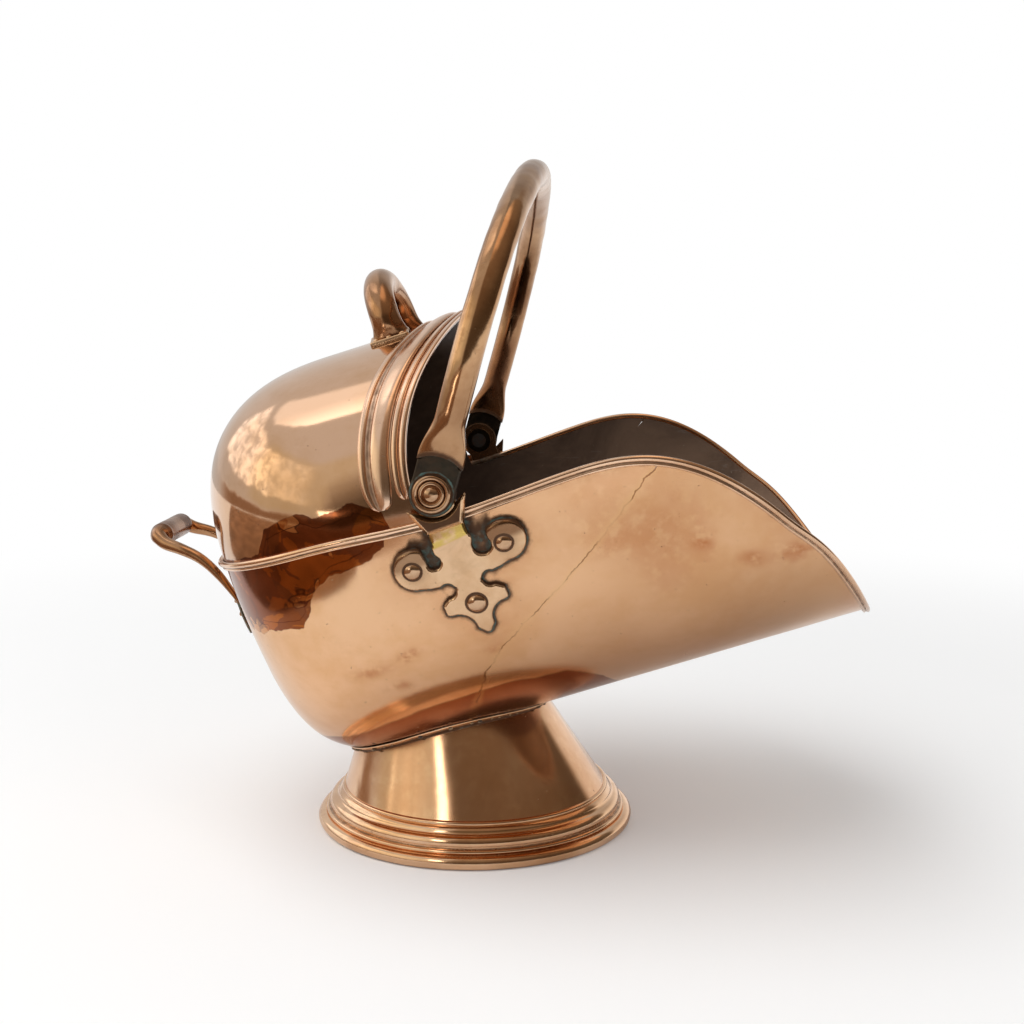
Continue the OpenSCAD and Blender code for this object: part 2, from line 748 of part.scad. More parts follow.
// ==== Back handle: a thick grip between two arms that end in flat leaves ====
// Each stop is [point, wide, thick], on the left side, from the tip of the leaf to the grip
back_arm = [
    [[-134.9, 42.2, 128.5], 3, 1.8],
    [[-136.9, 42, 133], 9, 2.4],
    [[-139.9, 41.6, 140.5], 13, 2.8],
    [[-143, 41, 148.6], 12.4, 3.2],
    [[-149, 40.2, 156.4], 9.6, 4.2],
    [[-155.6, 39, 164], 8.6, 5.4],
    [[-162.4, 38, 170.4], 8.2, 6],
    [[-170, 37, 175.4], 8, 6.6],
    [[-180.1, 36, 179.6], 8, 7.2],
    [[-189.4, 33.6, 182.4], 8.6, 8.2],
    [[-194.6, 29, 185.4], 10.5, 10.5],
    [[-195.8, 24.5, 186.2], 14, 14],
    [[-195.8, 20, 186.2], grip_d, grip_d],
    [[-195.8, 8, 186.2], grip_d, grip_d]
];
function other_side(stop) = [[stop[0][0], -stop[0][1], stop[0][2]], stop[1], stop[2]];
back_bar = concat(back_arm, [for (s = reversed(back_arm)) other_side(s)]);
// The leaves lie along the body's round back, and their flats turn with the bar
leaf_slant = 0.18;
function back_rings() = [
    for (i = [0 : len(back_bar) - 1])
    let (
        last = len(back_bar) - 1,
        along = unit(back_bar[min(i + 1, last)][0] - back_bar[max(i - 1, 0)][0]),
        y = back_bar[i][0][1],
        across = mix([leaf_slant, sign(y), 0], [-0.7, 0, 0.7], smooth((36 - abs(y)) / 10)),
        side = unit(across - along * (across * along)),
        face = cross(along, side)
    )
    oval_ring(back_bar[i][0], side, face, back_bar[i][1], back_bar[i][2], 12)
];
module back_handle() {
    color(brown_copper) skin(back_rings());
}
module back_handle_rivets() {
    color(brass) for (s = [0, 1], stop = [2, 3]) mirror([0, s, 0])
        translate(back_arm[stop][0]) rotate([0, -112, -10]) {
            translate([0, 0, 1.2]) dome(2.4, 1.6);
            translate([0, 0, -3.4]) cylinder(d = 2.6, h = 4.8, $fn = 32);
        }
}

scoop_sheet();
back_pan();
rim_moulding();
rim_wire();
hood_shell();
hood_cushion();
hood_edge_bead();
foot_cone();
foot_base();
foot_wire();
bracket(left);  // bracket_left
bracket(right);  // bracket_right
bracket_rivets(left);  // bracket_rivets_left
bracket_rivets(right);  // bracket_rivets_right
pivot_pin(left);  // pivot_pin_left
pivot_pin(right);  // pivot_pin_right
rosette(left);  // rosette_left
rosette(right);  // rosette_right
inner_washer(left);  // inner_washer_left
inner_washer(right);  // inner_washer_right
bail_tube();
bail_tongue(left);  // bail_tongue_left
bail_tongue(right);  // bail_tongue_right
hood_handle();
hood_handle_rivets();
back_handle();
back_handle_rivets();
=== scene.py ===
# Helmet coal scuttle in sheet copper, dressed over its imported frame
import math
import bpy
import bmesh
import numpy as np
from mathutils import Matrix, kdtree


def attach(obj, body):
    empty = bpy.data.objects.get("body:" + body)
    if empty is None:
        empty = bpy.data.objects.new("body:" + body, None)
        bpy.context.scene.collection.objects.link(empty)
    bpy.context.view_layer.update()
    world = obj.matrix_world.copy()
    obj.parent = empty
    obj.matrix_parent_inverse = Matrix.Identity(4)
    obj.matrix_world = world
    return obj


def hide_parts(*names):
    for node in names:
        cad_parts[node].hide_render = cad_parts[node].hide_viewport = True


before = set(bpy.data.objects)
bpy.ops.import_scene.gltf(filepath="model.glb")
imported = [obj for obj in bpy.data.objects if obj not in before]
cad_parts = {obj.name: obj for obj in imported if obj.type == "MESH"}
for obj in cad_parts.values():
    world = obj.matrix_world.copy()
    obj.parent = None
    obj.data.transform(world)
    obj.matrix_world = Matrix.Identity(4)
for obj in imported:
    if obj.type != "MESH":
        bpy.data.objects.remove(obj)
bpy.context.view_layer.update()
mm = 0.001
print("frame loaded")

# camera, as the object is seen in the picture
cameraSetup = {"place": (0.080, -0.933, 0.332), "yaw": 3.43, "down": 8.08, "lens": 52.3}
cameraData = bpy.data.cameras.new("camera")
cameraData.lens = cameraSetup["lens"]
cameraData.sensor_width = 36
cameraData.clip_start = 0.01
camera = bpy.data.objects.new("camera", cameraData)
camera.location = cameraSetup["place"]
camera.rotation_euler = (math.radians(90 - cameraSetup["down"]), 0, math.radians(cameraSetup["yaw"]))
bpy.context.scene.collection.objects.link(camera)
bpy.context.scene.camera = camera

# sizes shared by the pieces, in millimetres and degrees, as in the frame
scuttle = {
    "bodyR": 147.4, "sheet": 1.2, "tilt": 17.6, "axisZ": 220.4, "backReach": 159, "roundStart": 60,
    "hoodH": 101, "planPower": 2.2, "panPower": 3.96, "hoodPower": 2.57, "archPower": 2.4,
    "pivotX": -9, "pivotZ": 231,
}
bodyR = scuttle["bodyR"]
sheet = scuttle["sheet"]
tiltCos = math.cos(math.radians(scuttle["tilt"]))
tiltSin = math.sin(math.radians(scuttle["tilt"]))
roundLen = scuttle["backReach"] - scuttle["roundStart"]


def mix(a, b, t):
    return a + (b - a) * t


def smooth(t):
    k = np.clip(t, 0, 1)
    return k * k * (3 - 2 * k)


def bell(d, width):
    # 1 where d is 0, falling away over that width
    return np.exp(-np.square(d / width))


def unit(v):
    return v / np.maximum(np.linalg.norm(v, axis=-1, keepdims=True), 1e-12)


def sinDeg(a):
    return np.sin(np.radians(a))


def cosDeg(a):
    return np.cos(np.radians(a))


def rounded(t, power):
    # the height of a squared-off round at t, 1 in the middle and 0 at its end
    return np.power(np.maximum(0, 1 - np.power(np.abs(t), power)), 1 / power)


def swell(t, power):
    # a sine or cosine, swollen so that a circle drawn with it squares off
    return np.sign(t) * np.power(np.abs(t), 2 / power)


def tiltOut(u, v):
    # from along and up in the body's tilted frame to x and z in the row frame
    return u * tiltCos - v * tiltSin, scuttle["axisZ"] + u * tiltSin + v * tiltCos


def tiltBack(x, z):
    # from x and z in the row frame to along and up in the body's frame
    z = z - scuttle["axisZ"]
    return x * tiltCos + z * tiltSin, -x * tiltSin + z * tiltCos


def toRow(p):
    # from the body's frame in millimetres to the row frame in metres
    p = np.asarray(p, float)
    x, z = tiltOut(p[..., 0], p[..., 2])
    return np.stack([x, p[..., 1], z], -1) * mm


def hashed(ix, iy, iz, seed):
    n = (ix * 374761393 + iy * 668265263 + iz * 2147483647 + seed * 1274126177) & 0xFFFFFFFF
    n = ((n ^ (n >> 13)) * 1103515245) & 0xFFFFFFFF
    n = ((n ^ (n >> 16)) * 2246822519) & 0xFFFFFFFF
    return ((n ^ (n >> 15)) & 0xFFFFFF) / 0x7FFFFF - 1


def lumps(p, size, seed=1):
    # smooth noise from -1 to 1 over points in millimetres, with lumps of that size
    q = np.asarray(p, float) / size
    i = np.floor(q).astype(np.int64)
    f = q - i
    f = f * f * f * (f * (f * 6 - 15) + 10)
    total = 0
    for dx in (0, 1):
        for dy in (0, 1):
            for dz in (0, 1):
                weight = (
                    (f[..., 0] if dx else 1 - f[..., 0])
                    * (f[..., 1] if dy else 1 - f[..., 1])
                    * (f[..., 2] if dz else 1 - f[..., 2])
                )
                total = total + weight * hashed(i[..., 0] + dx, i[..., 1] + dy, i[..., 2] + dz, seed)
    return total


def nearness(p, line, reach):
    # how near each point lies to a line of points, 1 on it and falling over reach, all in metres
    tree = kdtree.KDTree(len(line))
    for i, c in enumerate(line):
        tree.insert(c, i)
    tree.balance()
    flat = np.asarray(p, float).reshape(-1, 3)
    d = np.array([tree.find(c)[2] for c in flat]).reshape(np.asarray(p).shape[:-1])
    return bell(d, reach)


# meshes
def makePiece(name, points, faces, materials, which=None, marks=None, sharp=40, weld=None):
    mesh = bpy.data.meshes.new(name)
    mesh.from_pydata(np.asarray(points, float).reshape(-1, 3).tolist(), [], faces)
    for m in materials:
        mesh.materials.append(m)
    if which is not None:
        mesh.polygons.foreach_set("material_index", np.asarray(which, np.int32))
    for key, values in (marks or {}).items():
        layer = mesh.attributes.new(key, "FLOAT", "POINT")
        layer.data.foreach_set("value", np.asarray(values, np.float32).ravel())
    work = bmesh.new()
    work.from_mesh(mesh)
    if weld is not None:
        work.verts.ensure_lookup_table()
        bmesh.ops.remove_doubles(work, verts=[work.verts[i] for i in weld], dist=2e-6)
    bmesh.ops.dissolve_degenerate(work, edges=work.edges, dist=1e-7)
    bmesh.ops.recalc_face_normals(work, faces=work.faces)
    work.to_mesh(mesh)
    work.free()
    mesh.polygons.foreach_set("use_smooth", np.ones(len(mesh.polygons), bool))
    mesh.set_sharp_from_angle(angle=math.radians(sharp))
    piece = bpy.data.objects.new(name, mesh)
    bpy.context.scene.collection.objects.link(piece)
    return piece


def gridFaces(rows, cols, start=0, closeRows=False, closeCols=False):
    i = np.arange(rows if closeRows else rows - 1)
    k = np.arange(cols if closeCols else cols - 1)
    i, k = np.meshgrid(i, k, indexing="ij")
    a = i * cols + k
    b = ((i + 1) % rows) * cols + k
    c = ((i + 1) % rows) * cols + (k + 1) % cols
    d = i * cols + (k + 1) % cols
    return (np.stack([a, b, c, d], -1).reshape(-1, 4) + start).tolist()


def doubled(marks):
    # the same marks on both skins of a sheet
    return {key: np.concatenate([np.ravel(v), np.ravel(v)]) for key, v in marks.items()}


def shellPiece(name, outer, inner, materials, marks, closedEnd=False, loop=False, sharp=50):
    # a sheet between two grids of points, closed round its edges
    # closedEnd welds the last row, and loop joins the last column to the first
    rows, cols = outer.shape[:2]
    count = rows * cols
    faces = gridFaces(rows, cols, closeCols=loop)
    which = [0] * len(faces) + [1] * len(faces)
    faces += gridFaces(rows, cols, count, closeCols=loop)
    ends = list(range(cols)) + [0] * loop
    edges = [ends]
    if not closedEnd:
        edges.append([(rows - 1) * cols + k for k in ends])
    if not loop:
        edges += [[i * cols for i in range(rows)], [i * cols + cols - 1 for i in range(rows)]]
    for edge in edges:
        for a, b in zip(edge, edge[1:]):
            faces.append([a, b, b + count, a + count])
            which.append(0)
    weld = None
    if closedEnd:
        last = list(range((rows - 1) * cols, count))
        weld = last + [i + count for i in last]
    points = np.concatenate([outer.reshape(-1, 3), inner.reshape(-1, 3)])
    return makePiece(name, points, faces, materials, which, doubled(marks), sharp, weld)


def sweepPiece(name, rings, materials, marks=None, closed=False, sharp=40):
    # a skin over rings of points, capped at its ends when it isn't closed
    rows, cols = rings.shape[:2]
    faces = gridFaces(rows, cols, closeRows=closed, closeCols=True)
    if not closed:
        faces.append(list(range(cols)))
        faces.append(list(range((rows - 1) * cols, rows * cols))[::-1])
    return makePiece(name, rings, faces, materials, None, marks, sharp)


def gridNormals(p):
    return unit(np.cross(np.gradient(p, axis=1), np.gradient(p, axis=0)))


# finishes
finishedTrees = {}  # by the material's name, to be added to later


class Tree:
    # a short way to lay out shader nodes
    def __init__(self, name):
        self.material = bpy.data.materials.new(name)
        self.material.use_nodes = True
        self.tree = self.material.node_tree
        self.tree.nodes.clear()
        self.coords = self.add("ShaderNodeTexCoord").outputs["Object"]

    def add(self, kind, values=None, **settings):
        node = self.tree.nodes.new(kind)
        for key, value in settings.items():
            setattr(node, key, value)
        for key, value in (values or {}).items():
            if isinstance(value, bpy.types.NodeSocket):
                self.tree.links.new(value, node.inputs[key])
            else:
                node.inputs[key].default_value = value
        return node

    def noise(self, scale, detail=4, rough=0.55, stretch=None, distort=0.0):
        vector = self.coords
        if stretch:
            vector = self.add("ShaderNodeMapping", {"Vector": vector, "Scale": stretch}).outputs["Vector"]
        return self.add("ShaderNodeTexNoise", {
            "Vector": vector, "Scale": scale, "Detail": detail, "Roughness": rough, "Distortion": distort,
        }).outputs["Fac"]

    def step(self, value, low, high, toLow=0.0, toHigh=1.0):
        return self.add("ShaderNodeMapRange", {
            "Value": value, "From Min": low, "From Max": high, "To Min": toLow, "To Max": toHigh,
        }, interpolation_type="SMOOTHSTEP").outputs["Result"]

    def math(self, kind, a, b=0.0, clamp=False):
        return self.add("ShaderNodeMath", {0: a, 1: b}, operation=kind, use_clamp=clamp).outputs[0]

    def plus(self, a, b, clamp=False):
        return self.math("ADD", a, b, clamp)

    def minus(self, a, b, clamp=False):
        return self.math("SUBTRACT", a, b, clamp)

    def times(self, a, b, clamp=False):
        return self.math("MULTIPLY", a, b, clamp)

    def shaken(self, value, noise, amount):
        # a value made uneven by noise
        return self.plus(value, self.times(self.minus(noise, 0.5), amount))

    def blend(self, factor, a, b, kind="MIX"):
        a = (*a, 1) if isinstance(a, tuple) else a
        b = (*b, 1) if isinstance(b, tuple) else b
        node = self.add("ShaderNodeMix", data_type="RGBA", blend_type=kind)
        for socket, value in ((node.inputs["Factor"], factor), (node.inputs[6], a), (node.inputs[7], b)):
            if isinstance(value, bpy.types.NodeSocket):
                self.tree.links.new(value, socket)
            else:
                socket.default_value = value
        return node.outputs[2]

    def mark(self, name):
        return self.add("ShaderNodeAttribute", attribute_name=name, attribute_type="GEOMETRY").outputs["Fac"]

    def bump(self, height, distance, strength=1.0, normal=None):
        values = {"Height": height, "Distance": distance, "Strength": strength}
        if normal is not None:
            values["Normal"] = normal
        return self.add("ShaderNodeBump", values).outputs["Normal"]

    def finish(self, values):
        self.shader = self.add("ShaderNodeBsdfPrincipled", values)
        out = self.add("ShaderNodeOutputMaterial")
        self.tree.links.new(self.shader.outputs[0], out.inputs[0])
        finishedTrees[self.material.name] = self
        return self.material


def agedMetal(name, look):
    # polished metal with patina, specks, brush marks, brown grime and green crust where it is marked; the
    # tone and grime marks also carry painted shade and painted dark reflection, drawn in the patina and grime
    # colours
    t = Tree(name)
    broad = t.noise(look["mottle"], 5, 0.6, distort=0.4)
    fine = t.noise(look["mottle"] * 7, 4, 0.6)
    cloud = t.step(t.plus(t.times(broad, 0.75), t.times(fine, 0.25)), 0.4, 0.64)
    colour = t.blend(cloud, look["bright"], look["worn"])
    dulledAndShaded = t.step(t.noise(look["mottle"] * 1.9, 6, 0.65, distort=0.8), 0.55, 0.72, 0, look["patinaShare"])
    # the tone mark adds painted shade and painted dark reflection here, in the patina colour
    dulledAndShaded = t.math("MAXIMUM", dulledAndShaded, t.mark("tone"), True)
    colour = t.blend(dulledAndShaded, colour, look["patina"])
    stain = t.times(t.mark("stain"), t.step(t.noise(120, 4, 0.6), 0.3, 0.55), True)
    colour = t.blend(stain, colour, look["stain"])
    speck = t.step(t.noise(420, 2, 0.5), 0.72, 0.78, 0, look["specks"])
    grain = t.noise(160, 5, 0.65, distort=0.3)
    # the grime mark also carries painted shadow lines, in the grime colour
    grime = t.step(t.plus(t.mark("grime"), t.times(grain, 0.5)), 0.45, 0.95)
    grime = t.math("MAXIMUM", grime, speck, True)
    colour = t.blend(grime, colour, look["grime"])
    green = t.step(t.plus(t.mark("green"), t.times(t.noise(230, 5, 0.7), 0.7)), 0.75, 1.05)
    crust = t.blend(t.noise(300, 4), (0.045, 0.085, 0.08), (0.13, 0.23, 0.2))
    colour = t.blend(green, colour, crust)
    rough = t.plus(t.times(fine, look["roughSpread"]), look["rough"])
    rough = t.plus(rough, t.times(dulledAndShaded, 0.1))
    rough = t.plus(rough, t.times(grime, 0.3))
    rough = t.plus(rough, t.times(green, 0.45), True)
    dirt = t.plus(t.times(grime, 0.45), t.times(green, 0.85))
    metal = t.minus(1.0, dirt, True)
    brush = t.noise(look["brushScale"], 3, 0.6, stretch=look["brush"])
    scratch = t.step(t.noise(90, 2, 0.5, stretch=(1, 14, 9), distort=0.3), 0.66, 0.72)
    normal = t.bump(brush, look["brushDepth"] * mm, 0.6)
    normal = t.bump(scratch, 0.03 * mm, -0.5, normal)
    normal = t.bump(t.noise(look["plane"], 2, 0.5), look["planeDepth"] * mm, 1.0, normal)
    normal = t.bump(green, 0.25 * mm, 0.8, normal)
    return t.finish({"Base Color": colour, "Roughness": rough, "Metallic": metal, "Normal": normal})


copperLook = {
    "bright": (0.88, 0.545, 0.315), "worn": (0.8, 0.46, 0.235), "patina": (0.54, 0.27, 0.12),
    "stain": (0.5, 0.17, 0.06), "grime": (0.1, 0.045, 0.02), "mottle": 12, "patinaShare": 0.2,
    "specks": 0.5, "rough": 0.1, "roughSpread": 0.08, "brush": (3, 1, 20), "brushScale": 60,
    "brushDepth": 0.008, "plane": 45, "planeDepth": 0.06,
}


def look(**changes):
    return {**copperLook, **changes}


sideCopper = agedMetal("sideCopper", look(rough=0.13))
panCopper = agedMetal("panCopper", look(rough=0.1, planeDepth=0.1))
hoodCopper = agedMetal("hoodCopper", look(
    bright=(0.78, 0.51, 0.34), worn=(0.7, 0.43, 0.25), patina=(0.48, 0.25, 0.12),
    rough=0.055, roughSpread=0.05, patinaShare=0.2, planeDepth=0.03))
# paler than the sheets' copper: a painted highlight on the reeds
reedCopperPaintedBright = agedMetal("reedCopperPaintedBright", look(
    bright=(0.95, 0.66, 0.46), worn=(0.82, 0.52, 0.32), patina=(0.5, 0.26, 0.13), rough=0.1,
    plane=120, planeDepth=0.05))
footCopper = agedMetal("footCopper", look(
    bright=(0.87, 0.58, 0.37), worn=(0.77, 0.47, 0.27), patina=(0.42, 0.2, 0.08),
    rough=0.09, patinaShare=0.3, brush=(1, 1, 12), planeDepth=0.04))
bailCopper = agedMetal("bailCopper", look(
    bright=(0.6, 0.36, 0.195), worn=(0.46, 0.25, 0.125), patina=(0.19, 0.08, 0.04),
    rough=0.1, patinaShare=0.45, mottle=24, brush=(14, 14, 1), plane=90, planeDepth=0.08))
handleCopper = agedMetal("handleCopper", look(
    bright=(0.56, 0.32, 0.175), worn=(0.42, 0.22, 0.11), patina=(0.17, 0.07, 0.035),
    rough=0.12, patinaShare=0.45, mottle=30, plane=110, planeDepth=0.07))
bracketBrass = agedMetal("bracketBrass", look(
    bright=(0.8, 0.54, 0.33), worn=(0.7, 0.44, 0.25), patina=(0.24, 0.12, 0.06),
    stain=(0.66, 0.47, 0.13), rough=0.12, patinaShare=0.14, mottle=30, plane=90, planeDepth=0.06))
rosetteBrass = agedMetal("rosetteBrass", look(
    bright=(0.66, 0.43, 0.27), worn=(0.5, 0.29, 0.16), patina=(0.2, 0.1, 0.05),
    rough=0.12, patinaShare=0.35, mottle=60, plane=150, planeDepth=0.03))
eyeCopper = agedMetal("eyeCopper", look(
    bright=(0.085, 0.075, 0.055), worn=(0.04, 0.042, 0.036), patina=(0.022, 0.028, 0.026),
    rough=0.26, patinaShare=0.6, mottle=50, plane=150, planeDepth=0.15))


def sootyInside():
    # the dark, scratched inside of the sheets
    t = Tree("sootyCopper")
    cloud = t.step(t.noise(16, 6, 0.65, distort=0.6), 0.35, 0.7)
    colour = t.blend(cloud, (0.095, 0.06, 0.043), (0.2, 0.13, 0.09))
    rubbed = t.times(t.step(t.noise(60, 3, 0.6, stretch=(1, 9, 5), distort=0.6), 0.62, 0.74), 0.35)
    colour = t.blend(rubbed, colour, (0.22, 0.19, 0.17))
    chip = t.step(t.noise(260, 3, 0.6), 0.7, 0.76)
    colour = t.blend(t.times(chip, 0.5), colour, (0.4, 0.36, 0.3))
    rough = t.plus(t.times(t.noise(40, 5, 0.6), 0.3), 0.28)
    normal = t.bump(t.noise(180, 5, 0.65), 0.12 * mm, 0.7)
    normal = t.bump(rubbed, 0.05 * mm, -0.6, normal)
    return t.finish({"Base Color": colour, "Roughness": rough, "Metallic": 0.55, "Normal": normal})


def dullIron(name, base, rust):
    t = Tree(name)
    colour = t.blend(t.step(t.noise(70, 5, 0.65), 0.4, 0.65), base, rust)
    rough = t.plus(t.times(t.noise(140, 4), 0.35), 0.35)
    normal = t.bump(t.noise(260, 5, 0.65), 0.15 * mm, 0.7)
    return t.finish({"Base Color": colour, "Roughness": rough, "Metallic": 0.8, "Normal": normal})


def solderLead():
    t = Tree("solderLead")
    colour = t.blend(t.step(t.noise(200, 5, 0.65), 0.4, 0.62), (0.42, 0.33, 0.22), (0.09, 0.08, 0.07))
    rough = t.plus(t.times(t.noise(300, 4), 0.3), 0.25)
    normal = t.bump(t.noise(420, 4, 0.6), 0.2 * mm, 0.8)
    return t.finish({"Base Color": colour, "Roughness": rough, "Metallic": 0.75, "Normal": normal})


sootyCopper = sootyInside()
wireIron = dullIron("wireIron", (0.1, 0.095, 0.09), (0.16, 0.075, 0.04))
solder = solderLead()
print("finishes made")


# the rim's curve and the waist seam, in the body's frame
rimShape = {
    "shoulder": 70, "reach": 209, "power": 2.65, "v": -4, "crest": -0.8, "backV": 1,
    "reedR": 1.75, "lowR": 0.95, "off": 0.15, "swell": 6.5, "swellStart": 0.7,
}
rimLen = rimShape["reach"] - rimShape["shoulder"]


def waistV(u):
    return mix(rimShape["v"], rimShape["backV"], smooth((-u - 6) / 80))


def rimHeight(u):
    # level at the waist, a low crest beside the brackets, then the long fall to the lip
    r = rimShape
    t = (u - r["shoulder"]) / rimLen
    rise = mix(waistV(u), r["crest"], smooth((u + 6) / 85))
    fall = (bodyR + r["crest"]) * np.power(np.maximum(0, t), r["power"])
    part = np.clip((t - r["swellStart"]) / (1 - r["swellStart"]), 0, 1)
    return rise - fall + r["swell"] * np.square(np.sin(math.pi * part))


def stationParts(count, power, end=89.5):
    # how far back each station lies, as a part of the rounded length
    return np.power(sinDeg(np.linspace(0, end, count)), 2 / power)


# the brazed seam between the front sheet and the pan, as x and z
seamLine = np.array([
    [150, 293], [104, 238.5], [70, 191], [27.4, 141.8], [17, 124], [10, 105], [-10, 30]], float)
seamSlant = 0.78  # cosine of the seam's lean, from a level distance to a square one


def seamX(z):
    return np.interp(z, seamLine[::-1, 1], seamLine[::-1, 0])


def seamU(v):
    # where a line along the body at height v crosses the seam
    low = np.full(np.shape(v), -60.0)
    high = np.full(np.shape(v), 230.0)
    for _ in range(40):
        u = (low + high) / 2
        x, z = tiltOut(u, v)
        ahead = x > seamX(z)
        high = np.where(ahead, u, high)
        low = np.where(ahead, low, u)
    return (low + high) / 2


def seamGap(p):
    # signed distance in front of the seam, seen from the side, in millimetres
    x, z = tiltOut(p[..., 0], p[..., 2])
    return (x - seamX(z)) * seamSlant


def rimPath(count=130, sideCount=60, backCount=170):
    # points round the rim and the waist, and the way out of the sheet at each
    t = 1 - np.power(1 - np.linspace(0, 1, count), 2)
    u = rimShape["shoulder"] + rimLen * t
    v = rimHeight(u)
    y = np.sqrt(np.maximum(0, bodyR ** 2 - v * v))
    front = np.stack([u, y, v], -1)
    right = front[:-1][::-1] * [1, -1, 1]
    u = np.linspace(rimShape["shoulder"], -scuttle["roundStart"], sideCount)[1:-1]
    v = rimHeight(u)
    side = np.stack([u, -np.sqrt(bodyR ** 2 - v * v), v], -1)
    a = np.linspace(-90, 90, backCount)
    along = np.power(cosDeg(a).clip(0), 2 / scuttle["planPower"])
    across = swell(sinDeg(a), scuttle["planPower"])
    u = -scuttle["roundStart"] - roundLen * along
    back = np.stack([u, bodyR * across, waistV(u)], -1)
    left = side[::-1] * [1, -1, 1]
    points = np.concatenate([front, right, side, back, left])
    radial = unit(points * [0, 1, 1])
    flat = np.stack([
        -np.power(along, scuttle["planPower"] - 1) / roundLen,
        np.sign(a) * np.power(np.abs(across), scuttle["planPower"] - 1) / bodyR,
        np.zeros_like(a),
    ], -1)
    start = len(front) + len(right) + len(side)
    out = radial.copy()
    out[start:start + len(back)] = unit(flat)
    return points, out


rimPoints, rimOut = rimPath()
rimRow = toRow(rimPoints)


# brackets: a trefoil plate bent round the body
bracketPlate = {
    "thick": 3.0, "edge": 1.6, "turn": 2.2, "eyeR": 12.5, "neckW": 20.6, "lobeX": 25.8, "lobeShift": 1.4,
    "lobeY": -37, "lobeR": 11.8, "tipY": -84, "lugY": 150.6, "step": 0.62, "bendTurn": 9, "bendTop": -13.9,
    "domeR": 12, "domeRise": 2.5, "groove": 0.3, "creaseY": -29,
    "lobeHead": 4.6, "tipHead": 2.6, "innerHead": 3.0,
}
pivot = tiltBack(scuttle["pivotX"], scuttle["pivotZ"])
rivetSpots = [(-25.6, -36.4, 4.5), (26.4, -37.4, 4.5), (0, -65.8, 5.2)]
lobeSpots = [(s * bracketPlate["lobeX"] + bracketPlate["lobeShift"], bracketPlate["lobeY"]) for s in (-1, 1)]


def discGap(p, c, r):
    return np.hypot(p[..., 0] - c[0], p[..., 1] - c[1]) - r


def polygonGap(p, corners):
    # signed distance to a polygon, negative inside
    corners = np.asarray(corners, float)
    best = np.full(p.shape[:-1], 1e9)
    sign = np.ones(p.shape[:-1])
    for a, b in zip(corners, np.roll(corners, -1, 0)):
        e = b - a
        w = p - a
        k = np.clip((w @ e) / (e @ e), 0, 1)
        d = w - k[..., None] * e
        best = np.minimum(best, (d * d).sum(-1))
        up = (a[1] <= p[..., 1]) & (b[1] > p[..., 1])
        down = (b[1] <= p[..., 1]) & (a[1] > p[..., 1])
        cross = e[0] * w[..., 1] - e[1] * w[..., 0]
        sign = np.where((up & (cross > 0)) | (down & (cross < 0)), -sign, sign)
    return sign * np.sqrt(best)


def joined(a, b, soft=1.2):
    h = np.clip(0.5 + 0.5 * (b - a) / soft, 0, 1)
    return b + (a - b) * h - soft * h * (1 - h)


def cutAway(a, b, soft=0.8):
    return -joined(-a, b, soft)


def turned(p, degrees, c):
    q = p - np.asarray(c, float)
    k, s = cosDeg(degrees), sinDeg(degrees)
    return np.stack([q[..., 0] * k + q[..., 1] * s, -q[..., 0] * s + q[..., 1] * k], -1)


def boxGap(p, w, h):
    d = np.abs(p) - [w / 2, h / 2]
    return np.hypot(*np.moveaxis(np.maximum(d, 0), -1, 0)) + np.minimum(d.max(-1), 0)


def bracketGap(p):
    b = bracketPlate
    n = b["neckW"] / 2
    low = b["lobeY"] - b["lobeR"]
    d = discGap(p, (0, 0), b["eyeR"])
    d = np.minimum(d, boxGap(p - [0, -18], b["neckW"], 24))
    d = np.minimum(d, polygonGap(p, [
        (-n, -27), (n, -27), (n + 4, -33), (b["lobeX"], low), (7, -54), (7, -60), (-7, -60), (-7, -54),
        (-b["lobeX"], low), (-n - 4, -33)]))
    for spot in lobeSpots:
        d = joined(d, discGap(p, spot, b["lobeR"]), 0.6)
    tip = polygonGap(p, [
        (-7, -54), (7, -54), (18, -62), (18, -68), (2, b["tipY"]), (-2, b["tipY"]), (-18, -68), (-18, -62)])
    d = joined(d, tip, 0.8)
    d = joined(d, discGap(p, (0, b["tipY"] + 0.8), 2.2), 1.2)
    for s in (-1, 1):
        far = s > 0
        slit = turned(p, s * -6 - 2 * far, (s * 14.6 + 0.8 * far, -28.5 + 0.5 * far))
        d = cutAway(d, discGap(p, (s * 13.4 + 1.2 * far, -36.6 + far), 3.5 + 1.5 * far))
        d = cutAway(d, boxGap(slit, 5.2 + 2.3 * far, 16 - far))
        d = cutAway(d, discGap(p, (s * 12.2, -54.6), 4.3))
        d = cutAway(d, discGap(p, (s * 17.6, -55.2), 4.4))
        d = cutAway(d, discGap(p, (s * 15.2, -79.5), 10.2), 1.2)
    return d


def fromPivot(x, y):
    # from the bracket's own x and y to the body's frame
    k, s = cosDeg(bracketPlate["turn"]), sinDeg(bracketPlate["turn"])
    return pivot[0] + x * k - y * s, pivot[1] + x * s + y * k


def bracketLocal(p):
    # the bracket's own x and y for points in the body's frame
    k, s = cosDeg(bracketPlate["turn"]), sinDeg(bracketPlate["turn"])
    u, v = p[..., 0] - pivot[0], p[..., 2] - pivot[1]
    return np.stack([u * k + v * s, -u * s + v * k], -1)


# the outer line of the bent plate: how far out it lies at each height
bendV = np.linspace(-110, 50, 801)
bendOuter = bodyR + 0.06 + bracketPlate["thick"]
bendLow = -bendOuter * sinDeg(bracketPlate["bendTurn"])
bendOut = np.interp(
    bendV, [bendLow, bracketPlate["bendTop"]],
    [bendOuter * cosDeg(bracketPlate["bendTurn"]), bracketPlate["lugY"] + bracketPlate["thick"]])
bendOut = np.where(bendV < bendLow, np.sqrt(np.maximum(bendOuter ** 2 - bendV ** 2, 1)), bendOut)
kernel = np.exp(-np.square(np.arange(-20, 21) * 0.2 / 1.3) / 2)
bendOut = np.convolve(np.pad(bendOut, 20, "edge"), kernel / kernel.sum(), "valid")
bendSlope = np.gradient(bendOut, bendV)


